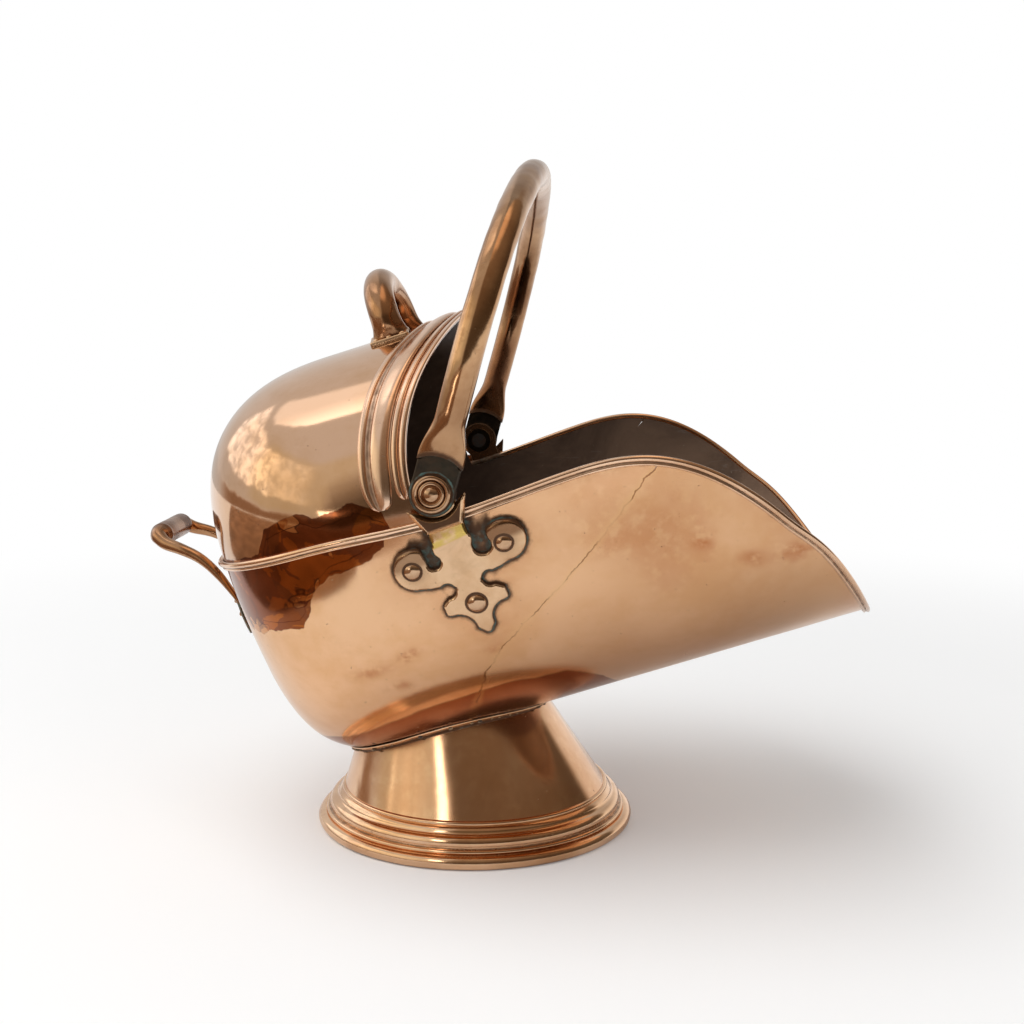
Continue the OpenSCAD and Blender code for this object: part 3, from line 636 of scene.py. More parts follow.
def bracketPlace(p, h, side):
    # local x, y and height on the plate to the body's frame
    u, v = fromPivot(p[..., 0], p[..., 1])
    out = np.interp(v, bendV, bendOut)
    slope = np.interp(v, bendV, bendSlope)
    size = np.sqrt(1 + slope ** 2)
    deep = h - bracketPlate["thick"]
    return np.stack([u, side * (out + deep / size), v - deep * slope / size], -1)


def platePiece(name, gap, low, high, step, height, place, materials, marks, sharp=50):
    # a plate cut to an outline: gap gives the distance outside it, height the relief at each point
    x = np.arange(low[0], high[0] + step, step)
    y = np.arange(low[1], high[1] + step, step)
    p = np.stack(np.meshgrid(x, y, indexing="ij"), -1)
    for _ in range(2):
        d = gap(p)
        e = 0.05
        slope = unit(np.stack([gap(p + [e, 0]) - gap(p - [e, 0]), gap(p + [0, e]) - gap(p - [0, e])], -1))
        near = np.abs(d) < 0.55 * step
        p = np.where(near[..., None], p - slope * d[..., None], p)
    d = gap(p)
    inside = d < 0.06 * step
    cols = len(y)
    index = np.arange(p.shape[0] * cols).reshape(p.shape[:2])
    quads = np.stack([index[:-1, :-1], index[1:, :-1], index[1:, 1:], index[:-1, 1:]], -1).reshape(-1, 4)
    kept = inside.ravel()[quads]
    faces = quads[kept.sum(1) == 4].tolist()
    for quad, ok in zip(quads[kept.sum(1) == 3], kept[kept.sum(1) == 3]):
        faces.append([int(i) for i, good in zip(quad, ok) if good])
    edges = {}
    for face in faces:
        for a, b in zip(face, face[1:] + face[:1]):
            edges[(a, b)] = edges.get((a, b), 0) + 1
    border = [(a, b) for (a, b) in edges if (b, a) not in edges]
    used = sorted({i for face in faces for i in face})
    slot = {old: new for new, old in enumerate(used)}
    flat = p.reshape(-1, 2)[used]
    d = np.minimum(d.ravel()[used], 0)
    top, bottom = height(flat, d)
    count = len(used)
    points = np.concatenate([place(flat, top), place(flat, bottom)])
    allFaces = [[slot[i] for i in face] for face in faces]
    allFaces += [[slot[i] + count for i in face][::-1] for face in faces]
    allFaces += [[slot[b], slot[a], slot[a] + count, slot[b] + count] for a, b in border]
    return makePiece(name, toRow(points), allFaces, materials, None, doubled(marks(flat, d)), sharp)


def edgeRise(d, radius):
    # how far a rounded edge has risen at that distance inside the outline
    e = np.clip(1 + d / radius, 0, 1)
    return radius * (np.sqrt(1 - e * e) - 1)


def bracketHeight(p, d):
    b = bracketPlate
    top = b["thick"] + edgeRise(d, b["edge"])
    for x, y in lobeSpots:
        r = np.hypot(p[:, 0] - x, p[:, 1] - y)
        top += b["domeRise"] * np.clip(1 - np.square(r / b["domeR"]), 0, 1) - b["groove"] * bell(r - 6, 1.0)
    x, y = rivetSpots[2][:2]
    top -= b["groove"] * bell(np.hypot(p[:, 0] - x, p[:, 1] - y) - 5.9, 0.7)
    top += 0.1 * lumps(np.column_stack([p, np.zeros(len(p))]), 14, 5)
    top -= b["groove"] * bell(p[:, 1] - b["creaseY"] - 0.1 * p[:, 0], 0.5) * (np.abs(p[:, 0]) < 12)
    return top, np.full(len(p), 0.15)


def bracketMarks(p, d):
    grime = bell(d, 0.75) * 0.75
    for x, y, r in rivetSpots:
        away = np.hypot(p[:, 0] - x, p[:, 1] - y)
        grime = np.maximum(grime, bell(away - r - 0.5, 0.8))
    fromLobes = [np.hypot(p[:, 0] - x, p[:, 1] - y) for x, y in lobeSpots]
    lobeToneAndShade = np.maximum(*[np.exp(-np.square(r / 7) ** 2) for r in fromLobes])
    # painted shade: the upper half of each domed lobe darkened round its rivet
    above = smooth((p[:, 1] - bracketPlate["lobeY"] + 1) / 5)
    for r in fromLobes:
        paintedUpperShade = above * smooth((r - 4.2) / 0.8) * smooth((13 - r) / 1.5)
        lobeToneAndShade = np.maximum(lobeToneAndShade * 0.8, paintedUpperShade * 1.2)
    neck = smooth((p[:, 1] + 28.5 - 0.1 * p[:, 0]) / 1) * smooth((-20 - p[:, 1]) / 1) * (np.abs(p[:, 0]) < 12)
    hook = bell(np.abs(p[:, 0]) - 13.5, 4) * bell(p[:, 1] + 32, 7)
    return {
        "grime": grime, "green": bell(d, 0.9) * 0.35 + hook * 0.3,
        "tone": lobeToneAndShade * 0.75, "stain": neck,
    }


def stopGap(p):
    # the shoulders beside the eye, clear of the tongue at both ends of its swing
    d = polygonGap(p, [
        (-10.3, -20.5), (10.3, -20.5), (16.2, -6.6), (16.6, -4.9), (16, 0),
        (-16, 0), (-16.6, -4.9), (-16.2, -6.6)])
    d = cutAway(d, discGap(p, (0, 0), 13.4), 0.4)
    k, n = cosDeg(61.6), sinDeg(61.6)
    for s in (-1, 1):
        along, across = s * p[..., 0] * k - p[..., 1] * n, s * p[..., 0] * n + p[..., 1] * k
        d = np.maximum(d, -boxGap(np.stack([along + 6.4, across - 9.5], -1), 37.4, 19))
    return d


sides = {"left": 1, "right": -1}
rivetSites = {"left": [], "right": []}
innerSites = {"left": [], "right": []}


def bracket(side):
    s = sides[side]
    low, high = (-42, -90), (42, 14)
    plate = platePiece(
        f"bracketPlate{side.title()}", bracketGap, low, high, bracketPlate["step"], bracketHeight,
        lambda p, h: bracketPlace(p, h, s), [bracketBrass], bracketMarks)
    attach(plate, "body")
    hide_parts(f"bracket_{side}")
    stop = platePiece(
        f"bracketShoulder{side.title()}", stopGap, (-19, -23), (19, 2), 0.5,
        lambda p, d: (7.6 - 1.3 * np.clip(2.0 + d, 0, 3), np.full(len(p), 2.0)),
        lambda p, h: bracketPlace(p, h, s), [bracketBrass],
        # the shoulders' faces darkened inside a bright bevel: oxide and painted shade
        lambda p, d: {
            "grime": smooth((-d - 1.7) / 0.5) * 0.6, "green": smooth((-d - 2) / 0.8) * 0.3,
            "tone": smooth((-d - 1.7) / 0.5), "stain": 0 * d})
    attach(stop, "body")
    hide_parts(f"bracket_{side}")
    for x, y, r in rivetSpots:
        e = 0.4
        spot = np.array([[x, y], [x + e, y], [x, y + e]], float)
        at = bracketPlace(spot, np.full(3, bracketPlate["tipHead" if x == 0 else "lobeHead"]), s)
        row = toRow(at)
        normal = unit(np.cross(row[1] - row[0], row[2] - row[0]))
        normal = normal * np.sign(normal[1] * s)
        rivetSites[side].append((row[0], normal, r))
        inset = (bodyR - sheet) / (bodyR + bracketPlate["thick"])
        innerSites[side].append((toRow(at[0] * [1, inset, inset]), -normal, bracketPlate["innerHead"]))


for side in sides:
    bracket(side)
print("brackets made")


# shared marks of dirt on the sheets
def sheetMarks(p, row):
    # dark lines beside the mouldings, dirt and the reeds' painted shadow; dirt, green and a painted shadow
    # line round the brackets; duller copper towards the lip
    grime = nearness(row, rimRow, 0.003) * 0.5
    local = bracketLocal(p)
    wide = bracketGap(local)
    atSide = np.abs(p[..., 1]) > 90
    # dirt and green crust round the plate, with a painted shadow line along its edge
    ring = np.where(atSide, np.exp(-np.maximum(wide, 0) / 2.2), 0)
    grime = np.maximum(grime, ring * 0.85)
    soft = np.where(atSide, np.exp(-np.maximum(wide, 0) / 9), 0)
    # the two slits beside the bracket's neck
    slit = np.where(atSide, bell(wide, 7), 0)
    slit = slit * smooth((local[..., 1] + 43) / 4) * (np.abs(local[..., 0]) < 23)
    grime = np.maximum(grime, slit * 0.8)
    lipward = smooth((p[..., 0] + 30) / 150)
    cloud = np.clip(lumps(p, 34, 22) + 0.1, 0, 1) * smooth((p[..., 0] - 30) / 60)
    return {
        "grime": grime, "green": np.maximum(ring * 0.62, slit * 0.5),
        "tone": np.clip(soft * 0.35 + lipward * (0.36 + 0.2 * lumps(p, 48, 23)), 0, 1),
        "stain": soft * 0.2 + cloud * 0.28,
    }


# soft stains on the near side: along, up, length, height and strength
sheetStains = {
    "scoop": [(124, -58, 5, 9, 0.8), (146, -76, 9, 5, 0.7), (170, -80, 10, 5, 0.7), (100, -40, 30, 14, 0.25)],
    "pan": [
        (-20, -118, 16, 5, 0.5), (-72, -76, 12, 3.5, 0.6), (-50, -72, 5, 3, 0.8), (-60, -90, 6, 3, 0.6),
        (-2, -84, 7, 3, 0.4)],
}


def stainSpots(p, kind):
    total = np.zeros(p.shape[:-1])
    for u, v, w, h, k in sheetStains[kind]:
        shift = lumps(p, 9, 21) * 0.5
        away = np.square((p[..., 0] - u) / w + shift) + np.square((p[..., 2] - v) / h + shift)
        total += k * np.exp(-away) * (p[..., 1] < 0)
    return total


# millimetres over which a painted reflection's mark rises from nothing to full
reflectionSoft = 26  # millimetres over which a patch's mark rises from nothing to full


def footReflectionMark(p):
    # how far below the line where the painted reflection of the foot and its shadow starts on the body's
    # underside, 0.5 on it
    u, v = p[..., 0], p[..., 2]
    deep = np.interp(u, [-110, -60, 0, 28, 46, 62], [120, 112, 110, 113, 126, 165])
    return np.clip(0.5 - (v + deep) / reflectionSoft, 0, 1.1)


# gentle dents in the raised sheets: size, depth and seed
sheetDents = {
    "scoop": [(75, 0.22, 3), (28, 0.05, 4)],
    "pan": [(48, 0.3, 5), (19, 0.1, 6)],
    "hood": [(60, 0.2, 7), (22, 0.035, 8)],
}


def dented(outer, inner, kind):
    normal = gridNormals(outer)
    rise = sum(deep * lumps(outer, size, seed) for size, deep, seed in sheetDents[kind])
    fade = 1 - nearness(toRow(outer), rimRow, 0.012)
    rise = (rise * fade)[..., None]
    return outer + normal * rise, inner + normal * rise


# front sheet
def scoopSheet(cols=330, rows=92):
    u = np.linspace(60, 130, 400)
    v = rimHeight(u)
    corner = v[np.argmin(np.abs(seamU(v) - u))] - 0.35
    top = math.degrees(math.asin(-corner / bodyR))
    a = np.linspace(top, 180 - top, cols)
    v = -bodyR * sinDeg(a)
    table = np.linspace(rimShape["shoulder"] + 8, rimShape["reach"], 1500)
    rim = np.interp(-v, -rimHeight(table), table)
    start = np.minimum(seamU(v), rim)
    t = np.linspace(0, 1, rows)[:, None]
    u = start * (1 - t) + rim * t
    outer = np.stack([u, np.broadcast_to(bodyR * cosDeg(a), u.shape), np.broadcast_to(v, u.shape)], -1)
    inner = outer * [1, (bodyR - sheet) / bodyR, (bodyR - sheet) / bodyR]
    outer, inner = dented(outer, inner, "scoop")
    row = toRow(outer)
    marks = sheetMarks(outer, row)
    marks["seam"] = seamGap(outer)
    # painted reflection of the foot and its shadow under the body
    marks["footReflection"] = footReflectionMark(outer)
    marks["stain"] = marks["stain"] + stainSpots(outer, "scoop")
    piece = shellPiece("scoopSheetSkin", row, toRow(inner), [seamedSide, sootyCopper], marks)
    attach(piece, "body")
    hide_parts("scoop_sheet")


# back pan
def panGrid(off, cols, straight, rounds):
    s = scuttle
    t = stationParts(rounds, s["panPower"])
    backU = -s["roundStart"] - (roundLen + off) * t
    k = np.linspace(0, 1, cols)
    r = bodyR + off

    def angles(u, deep):
        top = np.degrees(np.arcsin(np.clip(-rimHeight(u) / deep, -0.9, 0.9)))
        return mix(top, 180 - top, k)

    front = np.zeros(cols)
    for _ in range(6):
        front = seamU(-r * sinDeg(angles(front, r)))
    share = np.power(np.linspace(0, 1, straight), 0.9)[:, None]
    u = front * (1 - share) - s["roundStart"] * share
    a = angles(u, r)
    rows = [np.stack([u, r * cosDeg(a), -r * sinDeg(a)], -1)]
    for i in range(1, rounds):
        wide, deep = r * rounded(t[i], s["planPower"]), r * rounded(t[i], s["panPower"])
        a = angles(backU[i], deep)
        rows.append(np.stack([np.full(cols, backU[i]), wide * cosDeg(a), -deep * sinDeg(a)], -1)[None])
    last = rows[-1].copy()
    last[..., 1] = 0
    rows.append(last)
    return np.concatenate(rows)


def backPan(cols=331, straight=56, rounds=64):
    outer = panGrid(0, cols, straight, rounds)
    inner = panGrid(-sheet, cols, straight, rounds)
    outer, inner = dented(outer, inner, "pan")
    outer[-1, :, 1] = 0
    inner[-1, :, 1] = 0
    row = toRow(outer)
    marks = sheetMarks(outer, row)
    marks["seam"] = seamGap(outer)
    # painted reflection of the dark room: map-like dark patches behind, under the waist
    u, v = outer[..., 0], outer[..., 2]
    deep = np.interp(
        u, [-156, -150, -146, -112, -100, -86, -60, -40, -30], [-20, 0, 36, 40, 40, 22, 14, 8, -20])
    marks["darkReflection"] = np.clip(0.5 + (v + deep) / reflectionSoft, 0, 1.1)
    # painted reflection of the foot and its shadow under the body
    marks["footReflection"] = footReflectionMark(outer)
    marks["stain"] = marks["stain"] + stainSpots(outer, "pan")
    piece = shellPiece("backPanSkin", row, toRow(inner), [seamedPan, sootyCopper], marks, True)
    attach(piece, "body")
    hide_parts("back_pan")


def addPaintedReflections(material):
    # painted reflections: dark patches edged like a map, where they are marked, and a browner band under the
    # body, the painted reflection of the foot and its shadow
    t = finishedTrees[material.name]
    shader = t.shader
    colour = shader.inputs["Base Color"].links[0].from_socket
    # painted reflection of the dark room, broken into dark and pale fragments with dark edge lines
    edge = t.shaken(t.mark("darkReflection"), t.noise(21, 4, 0.55, distort=0.6), 0.9)
    inside = t.step(edge, 0.5, 0.53)
    x = t.add("ShaderNodeSeparateXYZ", {0: t.coords}).outputs[0]
    parts = t.minus(t.noise(23, 3, 0.5, distort=0.9), t.times(t.plus(x, 0.128), 2.2))
    fill = t.blend(t.step(parts, 0.488, 0.505), (0.3, 0.145, 0.085), (0.8, 0.6, 0.4))
    fill = t.blend(t.step(t.noise(27, 4, 0.6, distort=0.9), 0.53, 0.55, 0, 0.8), fill, (0.56, 0.27, 0.09))
    fill = t.blend(t.step(t.noise(48, 3, 0.55, distort=0.7), 0.56, 0.6, 0, 0.6), fill, (0.22, 0.13, 0.11))
    for value, level, width in ((edge, 0.5, 0.03), (edge, 0.72, 0.016), (parts, 0.497, 0.008)):
        line = t.step(t.math("ABSOLUTE", t.minus(value, level)), 0, width, 0.85, 0)
        fill = t.blend(line, fill, (0.1, 0.03, 0.02))
    colour = t.blend(inside, colour, t.blend(1.0, colour, fill, "MULTIPLY"))
    # painted reflection of the foot and its shadow under the body, with a dark jagged edge line
    low = t.shaken(t.mark("footReflection"), t.noise(17, 4, 0.55, distort=0.4), 0.4)
    rim = t.step(t.math("ABSOLUTE", t.minus(low, 0.5)), 0, 0.035, 0.6, 0)
    colour = t.blend(t.step(low, 0.5, 0.53), colour, t.blend(1.0, colour, (0.4, 0.2, 0.09), "MULTIPLY"))
    colour = t.blend(rim, colour, (0.2, 0.07, 0.03))
    t.tree.links.new(colour, shader.inputs["Base Color"])
    return material


def addSeam(material):
    # the brazed joint: a thin jagged line with a brassy edge, along the marked distance
    t = finishedTrees[material.name]
    shader = t.shader
    jag = t.times(t.minus(t.noise(75, 3, 0.55), 0.5), 5.0)
    teeth = t.times(t.minus(t.noise(330, 2, 0.5), 0.5), 1.8)
    away = t.math("ABSOLUTE", t.plus(t.mark("seam"), t.plus(jag, teeth)))
    line = t.step(away, 0.15, 0.6, 1.0, 0.0)
    line = t.times(line, t.step(t.noise(46, 4), 0.42, 0.56, 0.15, 1.0))
    halo = t.times(t.step(away, 0.5, 3.5, 1.0, 0.0), 0.25)
    colour = shader.inputs["Base Color"].links[0].from_socket
    normal = shader.inputs["Normal"].links[0].from_socket
    colour = t.blend(halo, colour, (0.8, 0.5, 0.24))
    colour = t.blend(t.times(line, 0.8), colour, (0.26, 0.1, 0.035))
    t.tree.links.new(colour, shader.inputs["Base Color"])
    t.tree.links.new(t.bump(line, 0.25 * mm, -0.7, normal), shader.inputs["Normal"])
    return material


seamedSide = addSeam(addPaintedReflections(sideCopper))
seamedPan = addSeam(addPaintedReflections(panCopper))
scoopSheet()
backPan()
print("body made")


# rim moulding: two reeds round the rim and the waist
def rimMoulding():
    r = rimShape
    lowA = np.linspace(-118, 50, 12)
    topA = np.linspace(-58, 235, 20)
    section = np.concatenate([
        np.array([[-0.1, -2.2, 0]]),
        np.column_stack([r["lowR"] * (1 + cosDeg(lowA)), -1.1 + r["lowR"] * sinDeg(lowA), 0 * lowA]),
        np.column_stack([
            r["reedR"] * cosDeg(topA), r["reedR"] + 0.05 + r["reedR"] * sinDeg(topA), 0 * topA + 1]),
        np.array([[-0.1, 0.02, 0]]),
    ])
    along = unit(np.roll(rimPoints, -1, 0) - np.roll(rimPoints, 1, 0))
    up = unit(np.cross(along, rimOut))
    wobble = 0.1 * lumps(rimPoints, 22, 41)
    shift = mix(r["reedR"] + 0.05, 0.45, smooth((rimPoints[:, 0] + 17) / 16))
    out = section[None, :, 0] + r["off"] + wobble[:, None] + section[None, :, 2] * shift[:, None]
    squash = 1 - 0.22 * smooth((rimPoints[:, 0] - r["reach"] + 14) / 12)
    rise = section[:, 1] * squash[:, None]
    rings = rimPoints[:, None] + rimOut[:, None] * out[..., None] + up[:, None] * rise[..., None]
    groove = np.zeros(len(section))
    groove[[0, 1, -1]] = 0.6
    groove[[11, 12, 13, 14]] = [0.3, 0.5, 0.5, 0.3]
    local = bracketGap(bracketLocal(rings))
    near = np.exp(-np.maximum(local, 0) / 4)
    marks = {
        "grime": np.maximum(np.broadcast_to(groove, rings.shape[:2]), near * 0.6), "green": near * 0.45,
        "tone": np.clip(0.1 + 0.3 * lumps(rings, 30, 42) + 0.4 * smooth((rings[..., 0] - 70) / 50), 0, 1),
        "stain": np.zeros(rings.shape[:2]),
    }
    piece = sweepPiece("rimReeds", toRow(rings), [reedCopperPaintedBright], marks, True, 60)
    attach(piece, "body")
    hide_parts("rim_moulding")


rimMoulding()


# hood
mouthShape = {"r": 103.3, "deep": 24.6, "z": 258.7, "topShare": 0.75}
mouthX = mouthShape["r"] - mouthShape["deep"]


def mouthU(v, back):
    # where the mouth's curve, set back by that much, crosses a line along the body at height v
    fx = -v * tiltSin - mouthX
    fz = scuttle["axisZ"] + v * tiltCos - mouthShape["z"]
    half = fx * tiltCos + fz * tiltSin
    reach = mouthShape["r"] + back
    return -half - np.sqrt(half * half - fx * fx - fz * fz + reach * reach)


def archAt(a, wide, high):
    # across and up at an angle round the hood's squared-off arch
    return wide * swell(cosDeg(a), scuttle["archPower"]), high * swell(sinDeg(a), scuttle["archPower"])


def hoodGrid(off, cols, straight, rounds):
    s = scuttle
    t = stationParts(rounds, s["hoodPower"])
    k = np.linspace(0, 1, cols)

    def angles(u, high):
        share = np.clip(waistV(u) / high, -0.9, 0.9)
        low = np.sign(share) * np.degrees(np.arcsin(np.power(np.abs(share), s["archPower"] / 2)))
        return mix(180 - low, low, k)

    wide, high = bodyR + off, s["hoodH"] + off
    front = np.full(cols, -20.0)
    for _ in range(5):
        front = mouthU(archAt(angles(front, high), wide, high)[1], 0)
    share = np.linspace(0, 1, straight)[:, None]
    u = front * (1 - share) - s["roundStart"] * share
    y, v = archAt(angles(u, high), wide, high)
    rows = [np.stack([u, y, v], -1)]
    for i in range(1, rounds):
        u = -s["roundStart"] - (roundLen + off) * t[i]
        w, h = wide * rounded(t[i], s["planPower"]), high * rounded(t[i], s["hoodPower"])
        y, v = archAt(angles(u, h), w, h)
        rows.append(np.stack([np.full(cols, u), y, v], -1)[None])
    last = rows[-1].copy()
    last[..., 1] = 0
    rows.append(last)
    return np.concatenate(rows)


def hoodShell(cols=331, straight=44, rounds=84):
    outer = hoodGrid(0, cols, straight, rounds)
    inner = hoodGrid(-sheet, cols, straight, rounds)
    outer, inner = dented(outer, inner, "hood")
    outer[-1, :, 1] = 0
    inner[-1, :, 1] = 0
    row = toRow(outer)
    grime = nearness(row, rimRow, 0.0042) * 0.6
    u, v = outer[..., 0], outer[..., 2]
    # painted dark reflection: darker towards the hood's lower edge, and map-like dark patches low at the back
    high = np.interp(u, [-156, -150, -146, -112, -104, -50, -36, -30], [-20, 0, 8, 8, 20, 20, 12, -20])
    lowReflection = smooth((34 - v) / 30) * 0.3
    marks = {
        "grime": grime, "green": grime * 0.4, "stain": 0 * u,
        "darkReflection": np.clip(0.5 + (high - v) / reflectionSoft, 0, 1.1),
        "tone": np.clip(lowReflection + 0.12 * lumps(outer, 60, 54), 0, 1),
    }
    piece = shellPiece("hoodSkin", row, toRow(inner), [hoodCopper, sootyCopper], marks, True)
    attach(piece, "body")
    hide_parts("hood_shell")


def mouthMoulding(name, node, section, low, taper, steps=240):
    a = np.linspace(low, 180 - low, steps)
    end = np.minimum(np.arange(steps), np.arange(steps)[::-1]) * (180 - 2 * low) / steps / taper
    size = np.where(end >= 1, 1, 0.3 + 0.7 * np.sqrt(np.clip(1 - np.square(1 - end), 0, 1)))
    middle = (section[0, 0] + section[-1, 0]) / 2
    back = middle + (section[None, :, 0] - middle) * size[:, None]
    back = back * mix(1, mouthShape["topShare"], smooth((50 - np.abs(a - 90)) / 50))[:, None]
    lift = 0.1 + section[None, :, 1] * size[:, None]
    y, v = archAt(a[:, None], bodyR + lift, scuttle["hoodH"] + lift)
    rings = np.stack([mouthU(v, back), y, v], -1)
    rings = rings + 0.12 * lumps(rings, 30, 61)[..., None] * [1, 0, 0]
    groove = bell(section[:, 1], 0.55)
    marks = {
        "grime": np.broadcast_to(groove * 0.8, rings.shape[:2]),
        "green": np.broadcast_to(groove * 0.3, rings.shape[:2]),
        "tone": np.clip(0.1 + 0.25 * lumps(rings, 34, 62), 0, 1), "stain": np.zeros(rings.shape[:2]),
    }
    piece = sweepPiece(name, toRow(rings), [hoodMouldPaintedBright], marks, False, 60)
    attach(piece, "body")
    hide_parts(node)


def hump(start, end, high, count, low=0.0):
    a = np.linspace(180, 0, count)
    across = (start + end) / 2 + (end - start) / 2 * cosDeg(a)
    return np.column_stack([across, np.maximum(low, high * sinDeg(a))])


# paler than the sheets' copper: a painted highlight on the mouth mouldings
hoodMouldPaintedBright = agedMetal("mouldCopperPaintedBright", look(
    bright=(0.95, 0.68, 0.5), worn=(0.82, 0.54, 0.38), rough=0.17, patinaShare=0.25,
    plane=120, planeDepth=0.05))
addPaintedReflections(hoodCopper)
hoodShell()
mouthMoulding("mouthCushion", "hood_cushion", np.concatenate([
    [[9.4, -0.3]], hump(9.5, 20.2, 2.7, 22, 0.5), [[21.4, 0.35]],
    hump(22.6, 26.8, 1.7, 14, 0.5), [[26.9, -0.3]]]), 4, 9)
mouthMoulding("mouthBeads", "hood_edge_bead", np.concatenate([
    [[0, -0.3]], hump(0.1, 4.3, 2.6, 18, 0.4), hump(4.5, 8.6, 2, 16, 0.4), [[8.7, -0.3]]]), 5, 4)
print("hood made")


# foot
footShape = {"r": 101.5, "beadR": 4.3, "coneR": 84.5, "taper": 0.486, "lean": 0.19, "baseTop": 23}


def underBody(p):
    # below 0 inside the body, for points in the row frame's millimetres
    u, v = tiltBack(p[..., 0], p[..., 2])
    t = np.clip((-u - scuttle["roundStart"]) / roundLen, 0, 0.999)
    wide, deep = bodyR * rounded(t, scuttle["planPower"]), bodyR * rounded(t, scuttle["panPower"])
    return (np.hypot(p[..., 1] / wide, v / deep) - 1) * bodyR


def coneTop(angle, extra):
    # the cone's line at that angle, and how high it climbs before it meets the body
    low, high = np.zeros_like(angle), np.full_like(angle, 95.0)

    def at(h):
        f = footShape
        r = f["coneR"] - f["taper"] * h + extra
        return np.stack([r * cosDeg(angle) - f["lean"] * h, r * sinDeg(angle), f["baseTop"] + h], -1)

    for _ in range(40):
        h = (low + high) / 2
        out = underBody(at(h)) > 0
        low, high = np.where(out, h, low), np.where(out, high, h)
    return (low + high) / 2, at


coneAngles = np.linspace(0, 360, 289)[:-1]


def footCone(rows=46):
    top, at = coneTop(coneAngles, 0)
    innerTop, innerAt = coneTop(coneAngles, -sheet)
    share = np.linspace(0, 1, rows)[:, None]
    outer = at(top[None] * share)
    inner = innerAt(innerTop[None] * share)
    climb = outer[..., 2] - footShape["baseTop"]
    centre = np.stack([-footShape["lean"] * climb, 0 * climb, outer[..., 2]], -1)
    out = unit((outer - centre) * [1, 1, 0])
    rise = 0.25 * lumps(outer, 44, 71) + 0.05 * lumps(outer, 16, 72)
    outer = outer + out * rise[..., None] * np.sin(math.pi * share)[..., None]
    height = outer[..., 2] - footShape["baseTop"]
    below = top[None] - height
    tone = np.clip(0.75 * np.exp(-below / 7) + 0.25 * lumps(outer, 38, 73), 0, 1)
    grime = np.maximum(np.exp(-below / 1.6) * 0.8, np.exp(-height / 1.2) * 0.7)
    marks = {"grime": grime, "green": grime * 0.35, "tone": tone, "stain": 0.15 + 0 * tone}
    piece = shellPiece(
        "footConeSkin", outer * mm, inner * mm, [footCopper, sootyCopper], marks, loop=True, sharp=45)
    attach(piece, "body")
    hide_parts("foot_cone")
    return outer[-1]


def surfaceNormal(p):
    return unit(np.stack([underBody(p + e) - underBody(p - e) for e in 0.05 * np.eye(3)], -1))


def footLip(joint):
    # the cone's edge turned out along the body, with a bright worn edge
    normal = surfaceNormal(joint)
    along = unit(np.roll(joint, -1, 0) - np.roll(joint, 1, 0))
    out = unit(np.cross(along, normal))
    away = joint - [-16, 0, 80]
    out = out * np.sign((out * away * [1, 1, 0]).sum(-1))[:, None]
    section = np.array([
        [-1.5, 0.05], [2, 0.06], [4.6, 0.1], [5.2, 0.5], [5.1, 1.05], [4.5, 1.35], [3.0, 1.4], [1.6, 1.7],
        [0.5, 2.6], [-0.2, 3.6], [-1.3, 3.2]])
    wave = 0.35 * lumps(joint, 14, 75)
    rings = joint[:, None] + out[:, None] * (section[None, :, 0] * (1 + 0.12 * wave[:, None]))[..., None]
    onBody = rings - surfaceNormal(rings) * underBody(rings)[..., None]
    rings = onBody + normal[:, None] * (section[None, :, 1] + np.abs(wave[:, None]) * 0.3)[..., None]
    edge = np.array([0.9, 0.9, 0.6, 0.1, 0, 0, 0.2, 0.7, 0.8, 0.5, 0.4])
    marks = {
        "grime": np.broadcast_to(edge, rings.shape[:2]),
        "green": np.broadcast_to(edge * 0.5, rings.shape[:2]),
        "tone": np.clip(0.3 + 0.5 * lumps(rings, 12, 76), 0, 1), "stain": np.zeros(rings.shape[:2]),
    }
    piece = sweepPiece("footLip", rings * mm, [footCopper], marks, True, 60)
    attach(piece, "body")
    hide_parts("foot_cone")
    return (joint + out * 3.4 + normal * 1.7) * mm, normal


def arc(c, r, start, end, count):
    a = np.linspace(start, end, count)
    return np.column_stack([c[0] + r * cosDeg(a), c[1] + r * sinDeg(a)])


def lathe(name, profile, angles, materials, marks, place=None, wobble=None, sharp=45):
    a = np.asarray(angles)
    r = profile[None, :, 0] + (wobble(a)[:, None] if wobble else 0)
    level = np.broadcast_to(profile[:, 1], (len(a), len(profile)))
    rings = np.stack([r * cosDeg(a)[:, None], r * sinDeg(a)[:, None], level], -1)
    values = {key: np.broadcast_to(v, rings.shape[:2]) if np.ndim(v) == 1 else v for key, v in marks.items()}
    rings = place(rings) if place else rings * mm
    faces = gridFaces(len(a), len(profile), closeRows=True, closeCols=True)
    return makePiece(name, rings, faces, materials, None, values, sharp)


